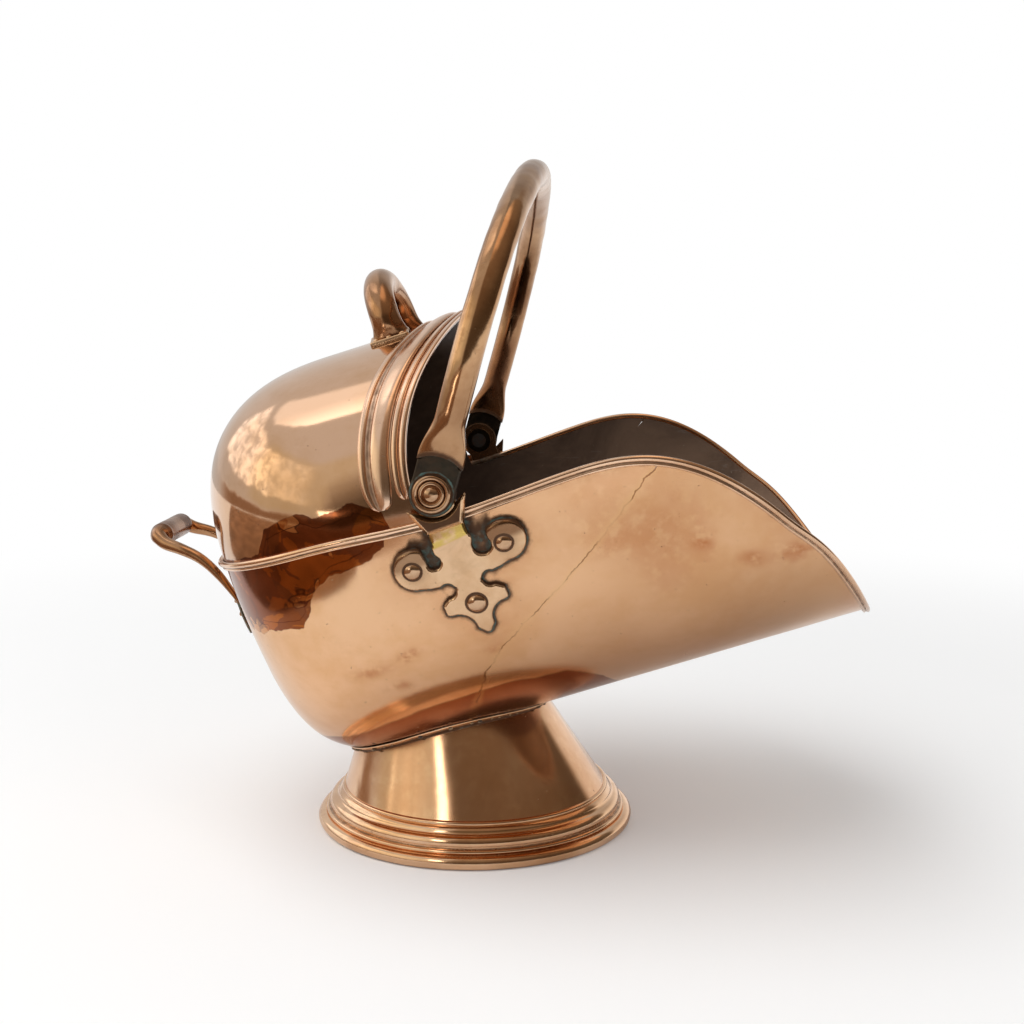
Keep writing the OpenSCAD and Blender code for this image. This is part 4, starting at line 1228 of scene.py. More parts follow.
def footBase():
    f = footShape
    beadZ, beadAt = f["beadR"] - 0.4, f["r"] - f["beadR"]
    bead = arc((beadAt, beadZ), f["beadR"], -65, 118, 26)
    bead[:, 1] = np.maximum(bead[:, 1], 0)
    outer = np.concatenate([
        bead, [[beadAt - 1.6, 7.6]],
        arc((beadAt - 2.4, 9.3), 1.5, -50, 90, 12), [[beadAt - 3.4, 11.1]],
        arc((beadAt - 7.8, 13.4), 4.6, -18, 72, 18),
        arc((beadAt - 5.8, 20.8), 3.4, -118, -168, 10),
        arc((f["coneR"] - 0.1, f["baseTop"] + 0.2), 1.6, -55, 100, 14),
    ])
    inner = np.array([
        [f["coneR"] - 1.4, 24.2], [f["coneR"] - 1.2, 21], [beadAt - 9.6, 18], [beadAt - 6.4, 13.5],
        [beadAt - 5.6, 9], [beadAt - 3.6, 6.2], [beadAt - 4.1, 2.6], [beadAt - 3.2, 0.6]])
    profile = np.concatenate([outer, inner])
    n = len(outer)
    dark = np.zeros(len(profile))
    dark[24:28] = [0.3, 0.55, 0.55, 0.3]
    dark[37:41] = [0.2, 0.45, 0.45, 0.2]
    dark[58:70] = 0.15
    dark[n:] = 0.6
    angles = np.linspace(0, 360, 361)[:-1]
    ring = np.stack([cosDeg(angles) * 95, sinDeg(angles) * 95, 0 * angles], -1)
    tone = np.clip(0.1 + 0.5 * lumps(ring[:, None] + profile[None, :, 1, None] * [0, 0, 1.0], 26, 81), 0, 1)
    piece = lathe(
        "footBaseMoulding", profile, angles, [footCopper], {
            "grime": dark, "green": dark * 0.5, "tone": tone, "stain": 0.2 * tone},
        wobble=lambda a: 0.12 * lumps(ring, 30, 82) - 0.12)
    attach(piece, "body")
    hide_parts("foot_base")


joint = footCone()
lipLine, lipNormal = footLip(joint)
footBase()
print("foot made")


# rosettes and tongues at the pivots
pivotShape = {"rosetteY": 158.5, "tongueY": 153.9, "tongueT": 4.3, "rosetteR": 10.3}


def rosette(side):
    s = sides[side]
    r = pivotShape["rosetteR"]
    profile = np.concatenate([
        [[0, 0], [r - 0.5, 0], [r, 0.4]], arc((r - 1.5, 1.2), 1.5, 0, 165, 14), [[7.4, 1.1], [7.1, 1.05]],
        arc((5.9, 1.85), 1.15, -20, 190, 14), [[4.5, 1.5]],
        np.array([[4.3 * cosDeg(a), 1.9 + 3.3 * sinDeg(a)] for a in np.linspace(0, 62, 10)]),
        [[1.6, 4.98], [0.6, 5.02], [0, 5.03]],
    ])
    dark = bell(profile[:, 1] - 1.1, 0.35) * (profile[:, 0] < 9.4) * 0.95
    dark[:3] = 0.9

    def place(p):
        u, v = fromPivot(p[..., 0], p[..., 1])
        return toRow(np.stack([u, s * (pivotShape["rosetteY"] + p[..., 2]), v], -1))

    piece = lathe(
        f"rosetteRings{side.title()}", profile, np.linspace(0, 360, 121)[:-1], [rosetteBrass],
        {"grime": dark, "green": dark * 0.45, "tone": 0.15 + 0 * dark, "stain": 0 * dark}, place)
    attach(piece, "body")
    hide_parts(f"rosette_{side}")


# bail
bailShape = {
    "d": 17.0, "h": 183.9, "half": 166, "shoulderR": 90, "crownR": 250, "pass": 7.4, "lean": 15.15,
    "sheathW": 25.4, "sheathT": 8.6, "sheathPower": 3.4, "round": 42, "full": 20, "gapR": 20.5,
    "wall": 1.3, "mouthDeep": 5,
}
tongueMid = pivotShape["tongueY"] + pivotShape["tongueT"] / 2


def archHalf(half, height, shoulder, crown, low, count):
    turn = math.degrees(math.asin((half - shoulder) / (crown - shoulder)))
    cy, cz = half - shoulder, height - crown + (crown - shoulder) * cosDeg(turn)
    t = np.linspace(-low, 90 - turn, count)
    first = np.column_stack([cy + shoulder * cosDeg(t), cz + shoulder * sinDeg(t), t])
    t = np.linspace(90 - turn, 90, count // 2)[1:]
    second = np.column_stack([crown * cosDeg(t), height - crown + crown * sinDeg(t), t])
    return np.concatenate([first, second])


def bailPlace(p):
    # from the bail's own frame to the row frame
    k, s = cosDeg(bailShape["lean"]), sinDeg(bailShape["lean"])
    x = p[..., 0] * k + p[..., 2] * s + scuttle["pivotX"]
    z = -p[..., 0] * s + p[..., 2] * k + scuttle["pivotZ"]
    return np.stack([x, p[..., 1], z], -1) * mm


def bailTube(cols=40):
    b = bailShape
    arch = archHalf(b["half"], b["h"], b["shoulderR"], b["crownR"], b["pass"], 64)
    foot = arch[0]
    a = np.linspace(0, 360, cols + 1)[:-1]

    def legRings(s, wall=0.0):
        t = smooth((s - b["full"]) / (b["round"] - b["full"]))
        straight = foot[0] - (foot[1] - s) * math.tan(math.radians(b["pass"]))
        y = mix(tongueMid, straight, smooth((s - b["full"] + 8) / 34))
        turn = -b["pass"] * smooth((s - b["full"]) / 20)
        wide = mix(b["sheathW"], b["d"], t) - 2 * wall
        thick = mix(b["sheathT"], b["d"], t) - 2 * wall
        power = mix(b["sheathPower"], 2.0, t)
        x, across = wide / 2 * swell(cosDeg(a), power), thick / 2 * swell(sinDeg(a), power)
        return np.stack([x, y + across * cosDeg(turn), s + across * sinDeg(turn)], -1)

    share = np.linspace(0, 1, 46)[:, None]
    x0 = legRings(np.full((1, cols), float(b["full"])))[0, :, 0]
    start = np.sqrt(np.maximum(b["gapR"] ** 2 - x0 ** 2, 40))
    s = start * (1 - share) + foot[1] * share * 0.985
    leg = legRings(s)
    mouth = legRings(start[None] + 0.2, b["wall"])
    deep = legRings(start[None] + b["mouthDeep"], b["wall"])
    ends = arch[:, None, :]
    ringX = b["d"] / 2 * cosDeg(a)[None]
    ringT = b["d"] / 2 * sinDeg(a)[None]
    body = np.stack([
        np.broadcast_to(ringX, (len(arch), cols)), ends[..., 0] + ringT * cosDeg(ends[..., 2]),
        ends[..., 1] + ringT * sinDeg(ends[..., 2])], -1)
    half = np.concatenate([deep, mouth, leg, body])
    other = (half * [1, -1, 1])[:-1][::-1]
    rings = np.concatenate([half, other])
    rows = len(rings)
    level = rings[..., 2]
    edge = bell(level - start[None], 3.0)
    middle = (rings.max(1, keepdims=True) + rings.min(1, keepdims=True)) / 2
    uneven = 0.16 * lumps(rings * [1, 1, 0.4], 9, 91) + 0.07 * lumps(rings, 6, 92)
    rings = rings + unit(rings - middle) * uneven[..., None]
    inward = np.clip(-np.sign(middle[..., 1]) * (rings[..., 1] - middle[..., 1]) / 8, 0, 1)
    tone = np.clip(0.12 + 0.55 * inward + 0.35 * lumps(rings, 22, 93) + 0.3 * edge, 0, 1)
    grime = np.maximum(edge * 0.8, np.clip(0.3 * inward + 0.2 * lumps(rings, 12, 94), 0, 1))
    # painted shade: the inside of the tube's open ends darkened
    grime[:2] = 0.95
    grime[rows - 2:] = 0.95
    marks = {"grime": grime, "green": edge * 0.45, "tone": tone, "stain": np.zeros(rings.shape[:2])}
    piece = sweepPiece("bailSkin", bailPlace(rings), [bailCopper], marks, False, 60)
    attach(piece, "bail")
    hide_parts("bail_tube")


def tongueGap(p):
    r = bailShape["gapR"]
    d = discGap(p, (0, 0), 12.5)
    d = joined(d, np.maximum(boxGap(p - [0, 10], 24, 20), discGap(p, (0, 0), r - 0.3)), 0.8)
    return np.minimum(d, boxGap(p - [0, 12], 20.8, 25))


def tongue(side):
    s = sides[side]

    def place(p, h):
        return np.stack([p[..., 0], s * (pivotShape["tongueY"] + h), p[..., 1]], -1)

    def toBodyFrame(p, h):
        row = bailPlace(place(p, h)) / mm
        u, v = tiltBack(row[..., 0], row[..., 2])
        return np.stack([u, row[..., 1], v], -1)

    piece = platePiece(
        f"tongueEye{side.title()}", tongueGap, (-14, -14), (14, 26), 0.45,
        lambda p, d: (pivotShape["tongueT"] + edgeRise(d, 0.9), np.zeros(len(p)) + 0.02),
        toBodyFrame, [eyeCopper],
        lambda p, d: {
            "grime": 0.35 + 0.4 * bell(np.hypot(p[:, 0], p[:, 1]) - 10.8, 0.9),
            "green": 0.45 * bell(np.hypot(p[:, 0], p[:, 1]) - 11.6, 1.1) + 0.12,
            "tone": 0.3 + 0 * d, "stain": 0 * d})
    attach(piece, "bail")
    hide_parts(f"bail_tongue_{side}")


bailTube()
for side in sides:
    rosette(side)
    tongue(side)
print("bail made")


# hood handle
hoodHandleShape = {
    "u": -16, "lean": 3, "v": 143.3, "d": 18, "half": 41, "shoulderR": 24, "crownR": 60,
    "plateY": 46.5, "plateV": 99.2, "plateTurn": 15, "plateT": 2.0, "plateLong": 21, "plateWide": 10,
    "rivetX": (-8, 0, 8), "rivetY": 4.0, "rivetR": 1.7,
}


def spline(stops, perSpan):
    # a smooth run of rows through the stops
    p = np.concatenate([[2 * stops[0] - stops[1]], stops, [2 * stops[-1] - stops[-2]]])
    t = np.linspace(0, 1, perSpan, endpoint=False)[:, None]
    rows = []
    for a, b, c, d in zip(p, p[1:], p[2:], p[3:]):
        bend, twist = 2 * a - 5 * b + 4 * c - d, 3 * b - a - 3 * c + d
        rows.append(0.5 * (2 * b + (c - a) * t + bend * t ** 2 + twist * t ** 3))
    return np.concatenate(rows + [stops[-1][None]])


def handleRow(p):
    # from the hood handle's frame, leaning on its plates, to the row frame
    h = hoodHandleShape
    k, s = cosDeg(-h["lean"]), sinDeg(-h["lean"])
    x, z = p[..., 0], p[..., 2] - h["plateV"]
    return toRow(np.stack([x * k + z * s + h["u"], p[..., 1], -x * s + z * k + h["plateV"]], -1))


def hoodHandle(cols=36):
    h = hoodHandleShape
    arch = archHalf(h["half"], h["v"] - h["d"] / 2, h["shoulderR"], h["crownR"], 0, 34)
    body = np.column_stack([arch, np.full((len(arch), 2), h["d"]), np.full(len(arch), 2.0)])
    # each root is y, height, turn, width, thickness and squareness, from the plate up
    roots = np.array([
        [43.9, h["plateV"] - 0.8, 18, 24.6, 8.4, 3.2], [43.6, h["plateV"] + 0.8, 14, 23.4, 9, 3],
        [42.4, h["plateV"] + 3.6, 7, 21.2, 12.2, 2.5], [41.3, h["plateV"] + 8, 1, 18.8, 16, 2.1]])
    keep = body[body[:, 1] > h["plateV"] + 12]
    half = np.concatenate([spline(np.concatenate([roots, keep[:1]]), 6)[:-1], keep])
    a = np.linspace(0, 360, cols + 1)[:-1]

    def ring(rows, side):
        y, z, turn, wide, thick, power = [rows[:, i, None] for i in range(6)]
        x, across = wide / 2 * swell(cosDeg(a), power), thick / 2 * swell(sinDeg(a), power)
        return np.stack([x, side * (y + across * cosDeg(turn)), z + across * sinDeg(turn)], -1)

    rings = np.concatenate([ring(half, 1), ring(half[::-1], -1)])
    middle = (rings.max(1, keepdims=True) + rings.min(1, keepdims=True)) / 2
    rings = rings + unit(rings - middle) * (0.12 * lumps(rings, 13, 101))[..., None]
    root = np.exp(-np.maximum(rings[..., 2] - h["plateV"], 0) / 7)
    marks = {
        "grime": np.clip(root ** 3 * 0.9, 0, 1), "green": root ** 3 * 0.5,
        "tone": np.clip(0.1 + root * 0.6 + 0.35 * lumps(rings, 18, 102), 0, 1),
        "stain": np.zeros(rings.shape[:2]),
    }
    piece = sweepPiece("hoodHandleSkin", handleRow(rings), [handleCopper], marks, False, 60)
    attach(piece, "body")
    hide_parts("hood_handle")


def hoodHandlePlates():
    h = hoodHandleShape
    for side, s in sides.items():
        def toBody(p, z):
            t = s * -h["plateTurn"]
            k, q = cosDeg(t), sinDeg(t)
            y = p[..., 1] * s
            v = h["plateV"] + h["plateT"] / 2 + y * q + z * k
            return np.stack([p[..., 0] - 0.6 + h["u"], s * h["plateY"] + y * k - z * q, v], -1)

        piece = platePiece(
            f"handlePlate{side.title()}",
            lambda p: boxGap(p, h["plateLong"], h["plateWide"]) - 1.5, (-13, -8), (13, 8), 0.5,
            lambda p, d: (1.2 + edgeRise(d, 0.9), np.zeros(len(p)) - 1.4), toBody, [bracketBrass],
            lambda p, d: {
                "grime": bell(d, 0.6) * 0.35, "green": bell(d, 0.8) * 0.4,
                "tone": 0.15 + 0 * d, "stain": 0 * d})
        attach(piece, "body")
        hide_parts("hood_handle")
        spots = np.array([[x, h["rivetY"]] for x in h["rivetX"]])
        at = toRow(toBody(spots, np.full(3, 1.1)))
        above = toRow(toBody(spots, np.full(3, 2.1)))
        for c, n in zip(at, unit(above - at)):
            handleRivets.append((c, n, h["rivetR"]))


handleRivets = []
hoodHandle()
hoodHandlePlates()

# back handle: each stop is x, y, z, width and thickness, from the tip of the leaf to the middle of the grip
backHandleShape = {
    "rivetStops": (2, 3), "rivetR": 2.4, "rivetLift": 1.1, "leafLean": 112, "leafSplay": 0.16,
    "gripEnd": 22, "turnFrom": 36,
}
backArm = np.array([
    [-134.9, 42.2, 128.5, 3, 1.8], [-136.9, 42, 133, 9, 2.4], [-139.9, 41.6, 140.5, 13, 2.8],
    [-143, 41, 148.6, 12.4, 3.2], [-149, 40.2, 156.4, 9.6, 4.2], [-155.6, 39, 164, 8.6, 5.4],
    [-162.4, 38, 170.4, 8.2, 6], [-170, 37, 175.4, 8, 6.6], [-180.1, 36, 179.6, 8, 7.2],
    [-189.4, 33.2, 182.4, 8.4, 8.2], [-194.4, 29.4, 185.2, 9.4, 9.4], [-195.5, 26, 186, 12, 12],
    [-195.6, 21, 186.2, 13.9, 13.9], [-195.6, 14, 186.2, 14.6, 14.6], [-195.6, 5, 186.2, 14.4, 14.4]])
backRivets = []


def backHandle(cols=32):
    h = backHandleShape
    run = spline(backArm, 7)
    bar = np.concatenate([run, (run * [1, -1, 1, 1, 1])[::-1]])
    p = bar[:, :3]
    along = unit(np.gradient(p, axis=0))
    y = p[:, 1]
    turn = smooth((h["turnFrom"] - np.abs(y)) / 10)[:, None]
    across = np.column_stack([np.full(len(y), 0.18), np.sign(y), 0 * y]) * (1 - turn)
    across = across + np.array([-0.7, 0, 0.7]) * turn
    side = unit(across - along * (across * along).sum(-1, keepdims=True))
    face = np.cross(along, side)
    a = np.linspace(0, 360, cols + 1)[:-1]
    bead = 1 + 0.05 * bell(np.abs(y) - h["gripEnd"], 1.2)[:, None, None]
    wide, thick = bar[:, 3, None] / 2 * cosDeg(a), bar[:, 4, None] / 2 * sinDeg(a)
    rings = p[:, None] + bead * (side[:, None] * wide[..., None] + face[:, None] * thick[..., None])
    rings = rings + 0.1 * lumps(rings, 11, 111)[..., None] * unit(rings - p[:, None])
    leaf = smooth((158 - rings[..., 2]) / 12)
    grip = smooth((28 - np.abs(rings[..., 1])) / 6)
    marks = {
        "grime": np.clip(0.5 * leaf + 0.3 * grip + 0.25 * lumps(rings, 9, 112), 0, 1), "green": 0.55 * leaf,
        "tone": np.clip(0.2 + 0.5 * grip + 0.3 * leaf + 0.3 * lumps(rings, 16, 113), 0, 1),
        "stain": np.zeros(rings.shape[:2]),
    }
    piece = sweepPiece("backHandleSkin", rings * mm, [handleCopper], marks, False, 60)
    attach(piece, "body")
    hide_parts("back_handle")
    for s in (1, -1):
        for stop in h["rivetStops"]:
            c = backArm[stop, :3] * [1, s, 1]
            n = unit(np.array([-sinDeg(h["leafLean"]), s * h["leafSplay"], -cosDeg(h["leafLean"])]))
            backRivets.append(((c + n * h["rivetLift"]) * mm, n, h["rivetR"]))


backHandle()
print("handles made")


# rivet heads and solder, set out with geometry nodes
headKinds = {
    "heads": {"Flatness": 0.62, "Unevenness": 0.03, "Seed": 3},
    "tails": {"Flatness": 0.35, "Unevenness": 0.08, "Seed": 4},
    "hoodHandle": {"Flatness": 0.6, "Unevenness": 0.08, "Seed": 5},
    "backHandle": {"Flatness": 0.6, "Unevenness": 0.08, "Seed": 7},
    "solder": {"Flatness": 0.5, "Unevenness": 0.35, "Seed": 11},
}


def rivetTree():
    tree = bpy.data.node_groups.new("rivetHeads", "GeometryNodeTree")
    # flatness is the height of a head against its radius, unevenness how far the sizes stray
    for name, kind in (
            ("Sites", "Geometry"), ("Flatness", "Float"), ("Unevenness", "Float"), ("Seed", "Int"),
            ("Finish", "Material")):
        tree.interface.new_socket(name, in_out="INPUT", socket_type="NodeSocket" + kind)
    tree.interface.new_socket("Heads", in_out="OUTPUT", socket_type="NodeSocketGeometry")
    add, link = tree.nodes.new, tree.links.new
    given, out = add("NodeGroupInput"), add("NodeGroupOutput")
    ball = add("GeometryNodeMeshUVSphere")
    ball.inputs["Segments"].default_value = 40
    ball.inputs["Rings"].default_value = 24
    ball.inputs["Radius"].default_value = 1.0
    squash = add("ShaderNodeCombineXYZ")
    squash.inputs[0].default_value = squash.inputs[1].default_value = 1.0
    link(given.outputs["Flatness"], squash.inputs[2])
    shape = add("GeometryNodeTransform")
    link(ball.outputs["Mesh"], shape.inputs["Geometry"])
    link(squash.outputs[0], shape.inputs["Scale"])
    way, size = add("GeometryNodeInputNamedAttribute"), add("GeometryNodeInputNamedAttribute")
    way.data_type, size.data_type = "FLOAT_VECTOR", "FLOAT"
    way.inputs["Name"].default_value = "way"
    size.inputs["Name"].default_value = "size"
    turn = add("FunctionNodeAlignRotationToVector")
    turn.axis = "Z"
    link(way.outputs["Attribute"], turn.inputs["Vector"])
    chance = add("FunctionNodeRandomValue")
    chance.data_type = "FLOAT"
    for operation, limit in (("SUBTRACT", 2), ("ADD", 3)):
        end = add("ShaderNodeMath")
        end.operation = operation
        end.inputs[0].default_value = 1.0
        link(given.outputs["Unevenness"], end.inputs[1])
        link(end.outputs[0], chance.inputs[limit])
    link(given.outputs["Seed"], chance.inputs["Seed"])
    scale = add("ShaderNodeMath")
    scale.operation = "MULTIPLY"
    link(size.outputs["Attribute"], scale.inputs[0])
    link(chance.outputs[1], scale.inputs[1])
    place = add("GeometryNodeInstanceOnPoints")
    link(given.outputs["Sites"], place.inputs["Points"])
    link(shape.outputs["Geometry"], place.inputs["Instance"])
    link(turn.outputs["Rotation"], place.inputs["Rotation"])
    link(scale.outputs[0], place.inputs["Scale"])
    real = add("GeometryNodeRealizeInstances")
    link(place.outputs["Instances"], real.inputs["Geometry"])
    shaded = add("GeometryNodeSetShadeSmooth")
    link(real.outputs["Geometry"], shaded.inputs["Geometry"])
    paint = add("GeometryNodeSetMaterial")
    link(shaded.outputs["Geometry"], paint.inputs["Geometry"])
    link(given.outputs["Finish"], paint.inputs["Material"])
    link(paint.outputs["Geometry"], out.inputs["Heads"])
    return tree


def setOut(name, sites, kind, finish, node, body="body"):
    # puts the tree's heads on the sites and keeps the result as a plain mesh
    settings = {**headKinds[kind], "Finish": finish}
    mesh = bpy.data.meshes.new(name + "Sites")
    mesh.from_pydata([tuple(c) for c, n, r in sites], [], [])
    way = mesh.attributes.new("way", "FLOAT_VECTOR", "POINT")
    way.data.foreach_set("vector", np.array([n for c, n, r in sites], np.float32).ravel())
    size = mesh.attributes.new("size", "FLOAT", "POINT")
    size.data.foreach_set("value", np.array([r * mm for c, n, r in sites], np.float32))
    holder = bpy.data.objects.new(name + "Holder", mesh)
    bpy.context.scene.collection.objects.link(holder)
    modifier = holder.modifiers.new("heads", "NODES")
    modifier.node_group = heads
    for item in heads.interface.items_tree:
        if item.in_out == "INPUT" and item.name in settings:
            modifier[item.identifier] = settings[item.name]
    holder.update_tag()
    bpy.context.view_layer.update()
    graph = bpy.context.evaluated_depsgraph_get()
    made = bpy.data.meshes.new_from_object(
        holder.evaluated_get(graph), preserve_all_data_layers=True, depsgraph=graph)
    made.name = name
    bpy.data.objects.remove(holder)
    piece = bpy.data.objects.new(name, made)
    bpy.context.scene.collection.objects.link(piece)
    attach(piece, body)
    if node:
        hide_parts(node)


heads = rivetTree()
for side in sides:
    node = f"bracket_rivets_{side}"
    setOut(f"bracketRivetHeads{side.title()}", rivetSites[side], "heads", rosetteBrass, node)
    setOut(f"bracketRivetTails{side.title()}", innerSites[side], "tails", sootyCopper, node)
setOut("handleRivetHeads", handleRivets, "hoodHandle", bracketBrass, "hood_handle_rivets")
setOut("backRivetHeads", backRivets, "backHandle", rosetteBrass, "back_handle_rivets")

# solder: drips here and there along the lip, every so many points of its line
solderDrips = {"every": 2, "seed": 9, "least": 0.5, "spread": 0.8, "lift": 0.3}
drips = []
for i in range(0, len(lipLine), solderDrips["every"]):
    chance = hashed(np.int64(i), np.int64(3), np.int64(5), solderDrips["seed"])
    if chance > 0:
        place = lipLine[i] + lipNormal[i] * mm * solderDrips["lift"] * chance
        drips.append((place, lipNormal[i], solderDrips["least"] + solderDrips["spread"] * chance))
setOut("footSolder", drips, "solder", solder, None)
print("rivets and solder made")

# frame nodes that stay: hidden wires, pins and washers
for node, finish in {
    "rim_wire": wireIron, "foot_wire": wireIron, "pivot_pin_left": wireIron, "pivot_pin_right": wireIron,
    "inner_washer_left": eyeCopper, "inner_washer_right": eyeCopper,
}.items():
    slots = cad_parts[node].material_slots
    if not slots:
        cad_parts[node].data.materials.append(finish)
    for s in slots:
        s.material = finish

# floor, room and lamps
studio = {
    "floor": 0.93, "floorSize": 6.0, "floorGlow": 0.12, "paleFrom": 0.45, "paleTo": 1.2,
    "world": 0.42, "roomSize": 2.6, "stripLight": 4.5, "tableLight": 0.33,
    "key": 41.0, "keyPlace": (-0.9, -0.5, 2.3), "keySize": (2.5, 2.1),
    "fill": 5.0, "fillPlace": (1.5, -1.5, 1.4), "fillSize": (1.4, 1.2),
    "stripZ": 0.236, "strip": [(-0.148, -0.297), (-0.107, -0.309), (-0.156, -0.555), (-0.24, -0.529)],
    "tableZ": 0.0015, "table": [
        (-0.6, 0.3), (-0.38, 0), (-0.25, -0.28), (-0.13, -0.43), (-0.10, -0.9), (-0.25, -2.4),
        (-1.5, -2.0), (-2.4, -0.2), (-2.3, 0.9)],
}


def studioFloor():
    mesh = bpy.data.meshes.new("studioFloor")
    w = studio["floorSize"]
    mesh.from_pydata([(-w, -w, 0), (w, -w, 0), (w, w, 0), (-w, w, 0)], [], [(0, 1, 2, 3)])
    floor = bpy.data.objects.new("studioFloor", mesh)
    bpy.context.scene.collection.objects.link(floor)
    floor.location.z = -0.0003
    t = Tree("floorPaper")
    colour = t.blend(t.noise(3, 2), (studio["floor"],) * 3, (studio["floor"] - 0.01,) * 3)
    paper = t.add("ShaderNodeBsdfPrincipled", {
        "Base Color": colour, "Roughness": 0.9, "Specular IOR Level": 0.1}).outputs[0]
    path = t.add("ShaderNodeLightPath").outputs
    seen = path["Is Camera Ray"]
    pale = t.add("ShaderNodeEmission", {"Strength": t.times(seen, studio["floorGlow"])}).outputs[0]
    near = t.add("ShaderNodeAddShader", {0: paper, 1: pale}).outputs[0]
    away = t.add("ShaderNodeVectorMath", {0: t.coords}, operation="LENGTH").outputs["Value"]
    shown = t.plus(t.plus(seen, path["Is Glossy Ray"]), path["Is Transmission Ray"], True)
    fade = t.times(shown, t.step(away, studio["paleFrom"], studio["paleTo"]))
    white = t.add("ShaderNodeEmission", {"Strength": 1.0}).outputs[0]
    whole = t.add("ShaderNodeMixShader", {0: fade, 1: near, 2: white}).outputs[0]
    t.tree.links.new(whole, t.add("ShaderNodeOutputMaterial").inputs[0])
    mesh.materials.append(t.material)


def studioRoom():
    # what the metal mirrors: a pale room with a window, a dim corner and a soft ceiling
    mesh = bpy.data.meshes.new("studioRoom")
    work = bmesh.new()
    bmesh.ops.create_uvsphere(work, u_segments=64, v_segments=32, radius=studio["roomSize"])
    bmesh.ops.delete(work, geom=[v for v in work.verts if v.co.z < -0.02], context="VERTS")
    work.to_mesh(mesh)
    work.free()
    room = bpy.data.objects.new("studioRoom", mesh)
    bpy.context.scene.collection.objects.link(room)
    t = Tree("roomLight")
    d = t.add("ShaderNodeVectorMath", {0: t.coords}, operation="NORMALIZE").outputs[0]
    parts = t.add("ShaderNodeSeparateXYZ", {0: d})
    x, y, z = parts.outputs

    def both(*values):
        total = values[0]
        for value in values[1:]:
            total = t.times(total, value)
        return total

    # turn is 0 at the left and 90 at the front, rise is 0 at the horizon, both in degrees
    turn = t.math("ARCTAN2", t.times(y, -1.0), t.times(x, -1.0))
    turn = t.shaken(t.times(turn, math.degrees(1)), t.noise(1.2, 4), 12)
    rise = t.shaken(t.times(t.math("ARCSINE", z), math.degrees(1)), t.noise(1.6, 4), 9)
    left = both(t.step(turn, -84, -74), t.step(turn, 64, 78, 1, 0))
    edge = t.minus(turn, t.times(rise, 0.8))
    right = both(t.step(edge, -168, -158), t.step(turn, -84, -74, 1, 0))

    def laid(base, mask, level):
        return t.plus(t.times(base, t.minus(1.0, mask)), t.times(mask, level))

    # the left wall: brown below, a sunlit garden seen through the glass, a white pane above it
    low = t.step(rise, 4, 6, 1, 0)
    wall = laid(t.step(rise, 60, 85, 0.68, 0.62), low, t.step(turn, -40, -20, 0.6, 0.3))
    wall = laid(wall, both(t.step(rise, 5, 7), t.step(rise, 13, 15, 1, 0), t.step(turn, -44, -38)), 0.62)
    leaves = t.step(t.noise(3.4, 5, 0.7, distort=0.6), 0.38, 0.62, 0.05, 0.95)
    garden = t.plus(t.times(leaves, t.step(turn, 10, 24, 1.0, 0.35)), 0.82)
    view = both(
        t.step(turn, -45, -42), t.step(turn, 46, 60, 1, 0), t.step(rise, 13, 15), t.step(rise, 38, 41, 1, 0))
    wall = laid(wall, view, garden)
    over = t.minus(rise, t.times(t.math("MAXIMUM", t.plus(turn, 20.0), 0.0), 0.7))
    pane = both(
        t.step(turn, -46, -42), t.step(turn, 24, 28, 1, 0), t.step(over, 43, 46), t.step(rise, 72, 79, 1, 0))
    wall = laid(wall, pane, t.step(turn, -30, 12, 1.2, 2.2))
    # the right: white low down, dimmer above; elsewhere a dark room with a soft ceiling
    pale = t.minus(t.minus(0.95, t.step(rise, 10, 30, 0, 0.45)), t.step(rise, 32, 60, 0, 0.15))
    dark = t.plus(t.step(rise, 12, 65, 0.1, 0.32), t.step(rise, 63, 78, 0, 1.1))
    rest = t.minus(1.0, t.plus(left, right), True)
    light = t.plus(t.times(right, pale), t.times(rest, dark))
    light = t.plus(t.times(left, wall), light)
    golden = both(left, t.step(turn, -8, 8), t.step(rise, 40, 46, 1, 0), t.step(rise, 5, 9))
    tint = t.blend(golden, (1.0, 0.97, 0.94), (1.0, 0.92, 0.74))
    tint = t.blend(both(left, low, t.step(turn, -40, -20)), tint, (1.0, 0.62, 0.4))
    tint = t.blend(rest, tint, (1.0, 0.74, 0.52))
    glow = t.add("ShaderNodeEmission", {"Color": tint, "Strength": light})
    out = t.add("ShaderNodeOutputMaterial")
    t.tree.links.new(glow.outputs[0], out.inputs[0])
    mesh.materials.append(t.material)
    mirroredOnly(room)


def mirroredOnly(obj):
    # stage pieces that only reflections show
    for way in ("camera", "diffuse", "shadow", "transmission", "volume_scatter"):
        setattr(obj, "visible_" + way, False)


def card(name, corners, build):
    # a flat sheet that the metal mirrors
    mesh = bpy.data.meshes.new(name)
    mesh.from_pydata(corners, [], [tuple(range(len(corners)))])
    obj = bpy.data.objects.new(name, mesh)
    bpy.context.scene.collection.objects.link(obj)
    t = Tree(name + "Light")
    colour, strength = build(t)
    glow = t.add("ShaderNodeEmission", {"Color": colour, "Strength": strength})
    t.tree.links.new(glow.outputs[0], t.add("ShaderNodeOutputMaterial").inputs[0])
    mesh.materials.append(t.material)
    mirroredOnly(obj)


def darkTable(t):
    away = t.add("ShaderNodeVectorMath", {0: t.coords}, operation="LENGTH").outputs["Value"]
    cloud = t.step(t.noise(5, 4, 0.6), 0.4, 0.65, 0.7, 1.15)
    return (1.0, 0.62, 0.4, 1), t.times(cloud, t.step(away, 0.4, 1.2, studio["tableLight"], 0.4))


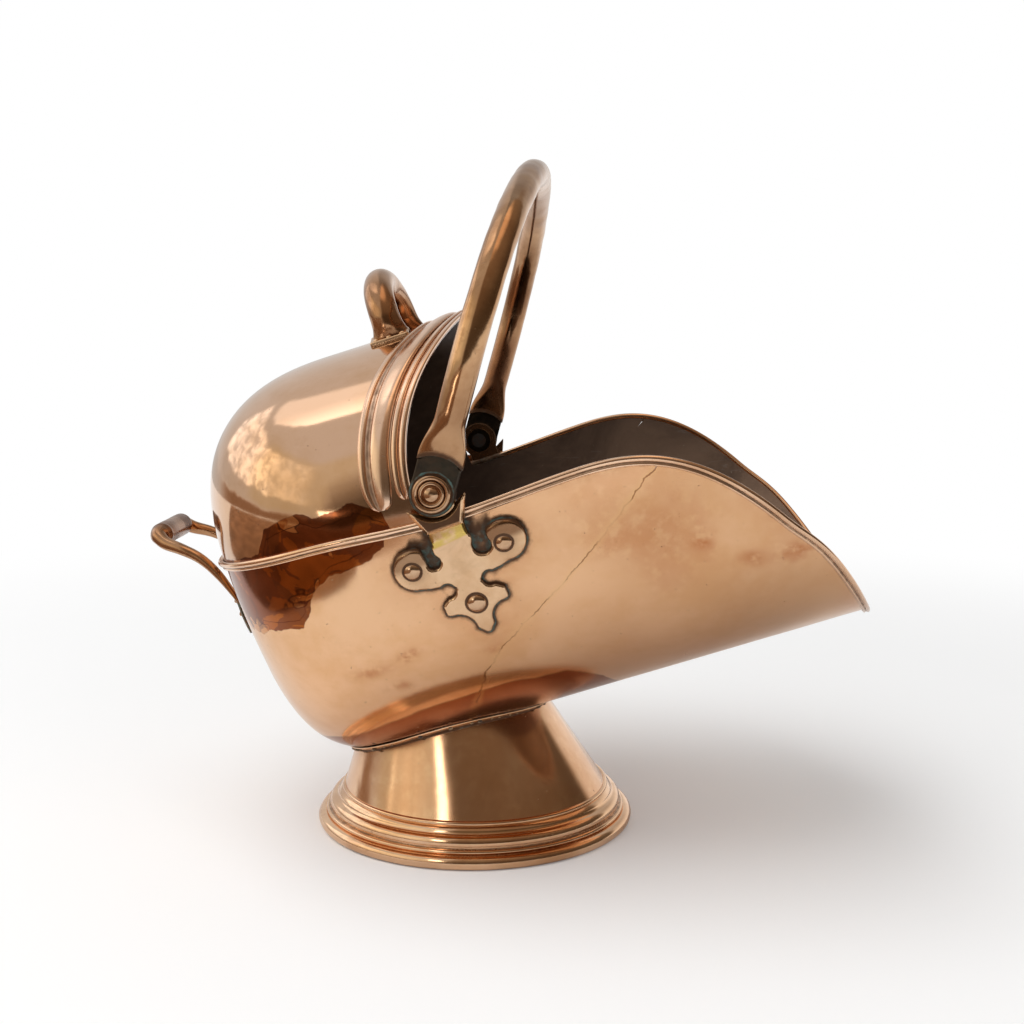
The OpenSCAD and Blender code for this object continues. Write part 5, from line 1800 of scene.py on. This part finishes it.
def windowStrip(t):
    level = t.step(t.noise(6, 2), 0.3, 0.7, studio["stripLight"] * 0.85, studio["stripLight"])
    return (1.0, 0.95, 0.86, 1), level


def lamp(name, place, target, size, power):
    data = bpy.data.lights.new(name, "AREA")
    data.shape = "RECTANGLE"
    data.size, data.size_y = size
    data.energy = power
    light = bpy.data.objects.new(name, data)
    light.location = place
    way = np.array(target, float) - np.array(place, float)
    yaw = math.atan2(way[1], way[0])
    tilt = math.acos(-way[2] / np.linalg.norm(way))
    light.rotation_euler = (tilt, 0, yaw - math.pi / 2)
    light.visible_glossy = False
    bpy.context.scene.collection.objects.link(light)


def studioWorld():
    # white to the camera and in mirrors, softer as the light on the object
    world = bpy.data.worlds.new("studioWorld")
    bpy.context.scene.world = world
    world.use_nodes = True
    tree = world.node_tree
    tree.nodes.clear()
    add, link = tree.nodes.new, tree.links.new
    path = add("ShaderNodeLightPath").outputs
    seen, seenToo = add("ShaderNodeMath"), add("ShaderNodeMath")
    seen.operation = seenToo.operation = "ADD"
    seenToo.use_clamp = True
    link(path["Is Camera Ray"], seen.inputs[0])
    link(path["Is Glossy Ray"], seen.inputs[1])
    link(seen.outputs[0], seenToo.inputs[0])
    link(path["Is Transmission Ray"], seenToo.inputs[1])
    power = add("ShaderNodeMapRange")
    power.inputs["To Min"].default_value = studio["world"]
    power.inputs["To Max"].default_value = 1.0
    link(seenToo.outputs[0], power.inputs["Value"])
    backdrop = add("ShaderNodeBackground")
    backdrop.inputs["Color"].default_value = (1, 1, 1, 1)
    link(power.outputs["Result"], backdrop.inputs["Strength"])
    link(backdrop.outputs[0], add("ShaderNodeOutputWorld").inputs[0])


studioFloor()
studioRoom()
card("windowStrip", [(x, y, studio["stripZ"]) for x, y in studio["strip"]], windowStrip)
card("darkTable", [(x, y, studio["tableZ"]) for x, y in studio["table"]], darkTable)
lamp("keyLamp", studio["keyPlace"], (0, 0, 0.1), studio["keySize"], studio["key"])
lamp("fillLamp", studio["fillPlace"], (0, 0, 0.2), studio["fillSize"], studio["fill"])
studioWorld()
bpy.context.scene.view_settings.view_transform = "Standard"
print("studio made")
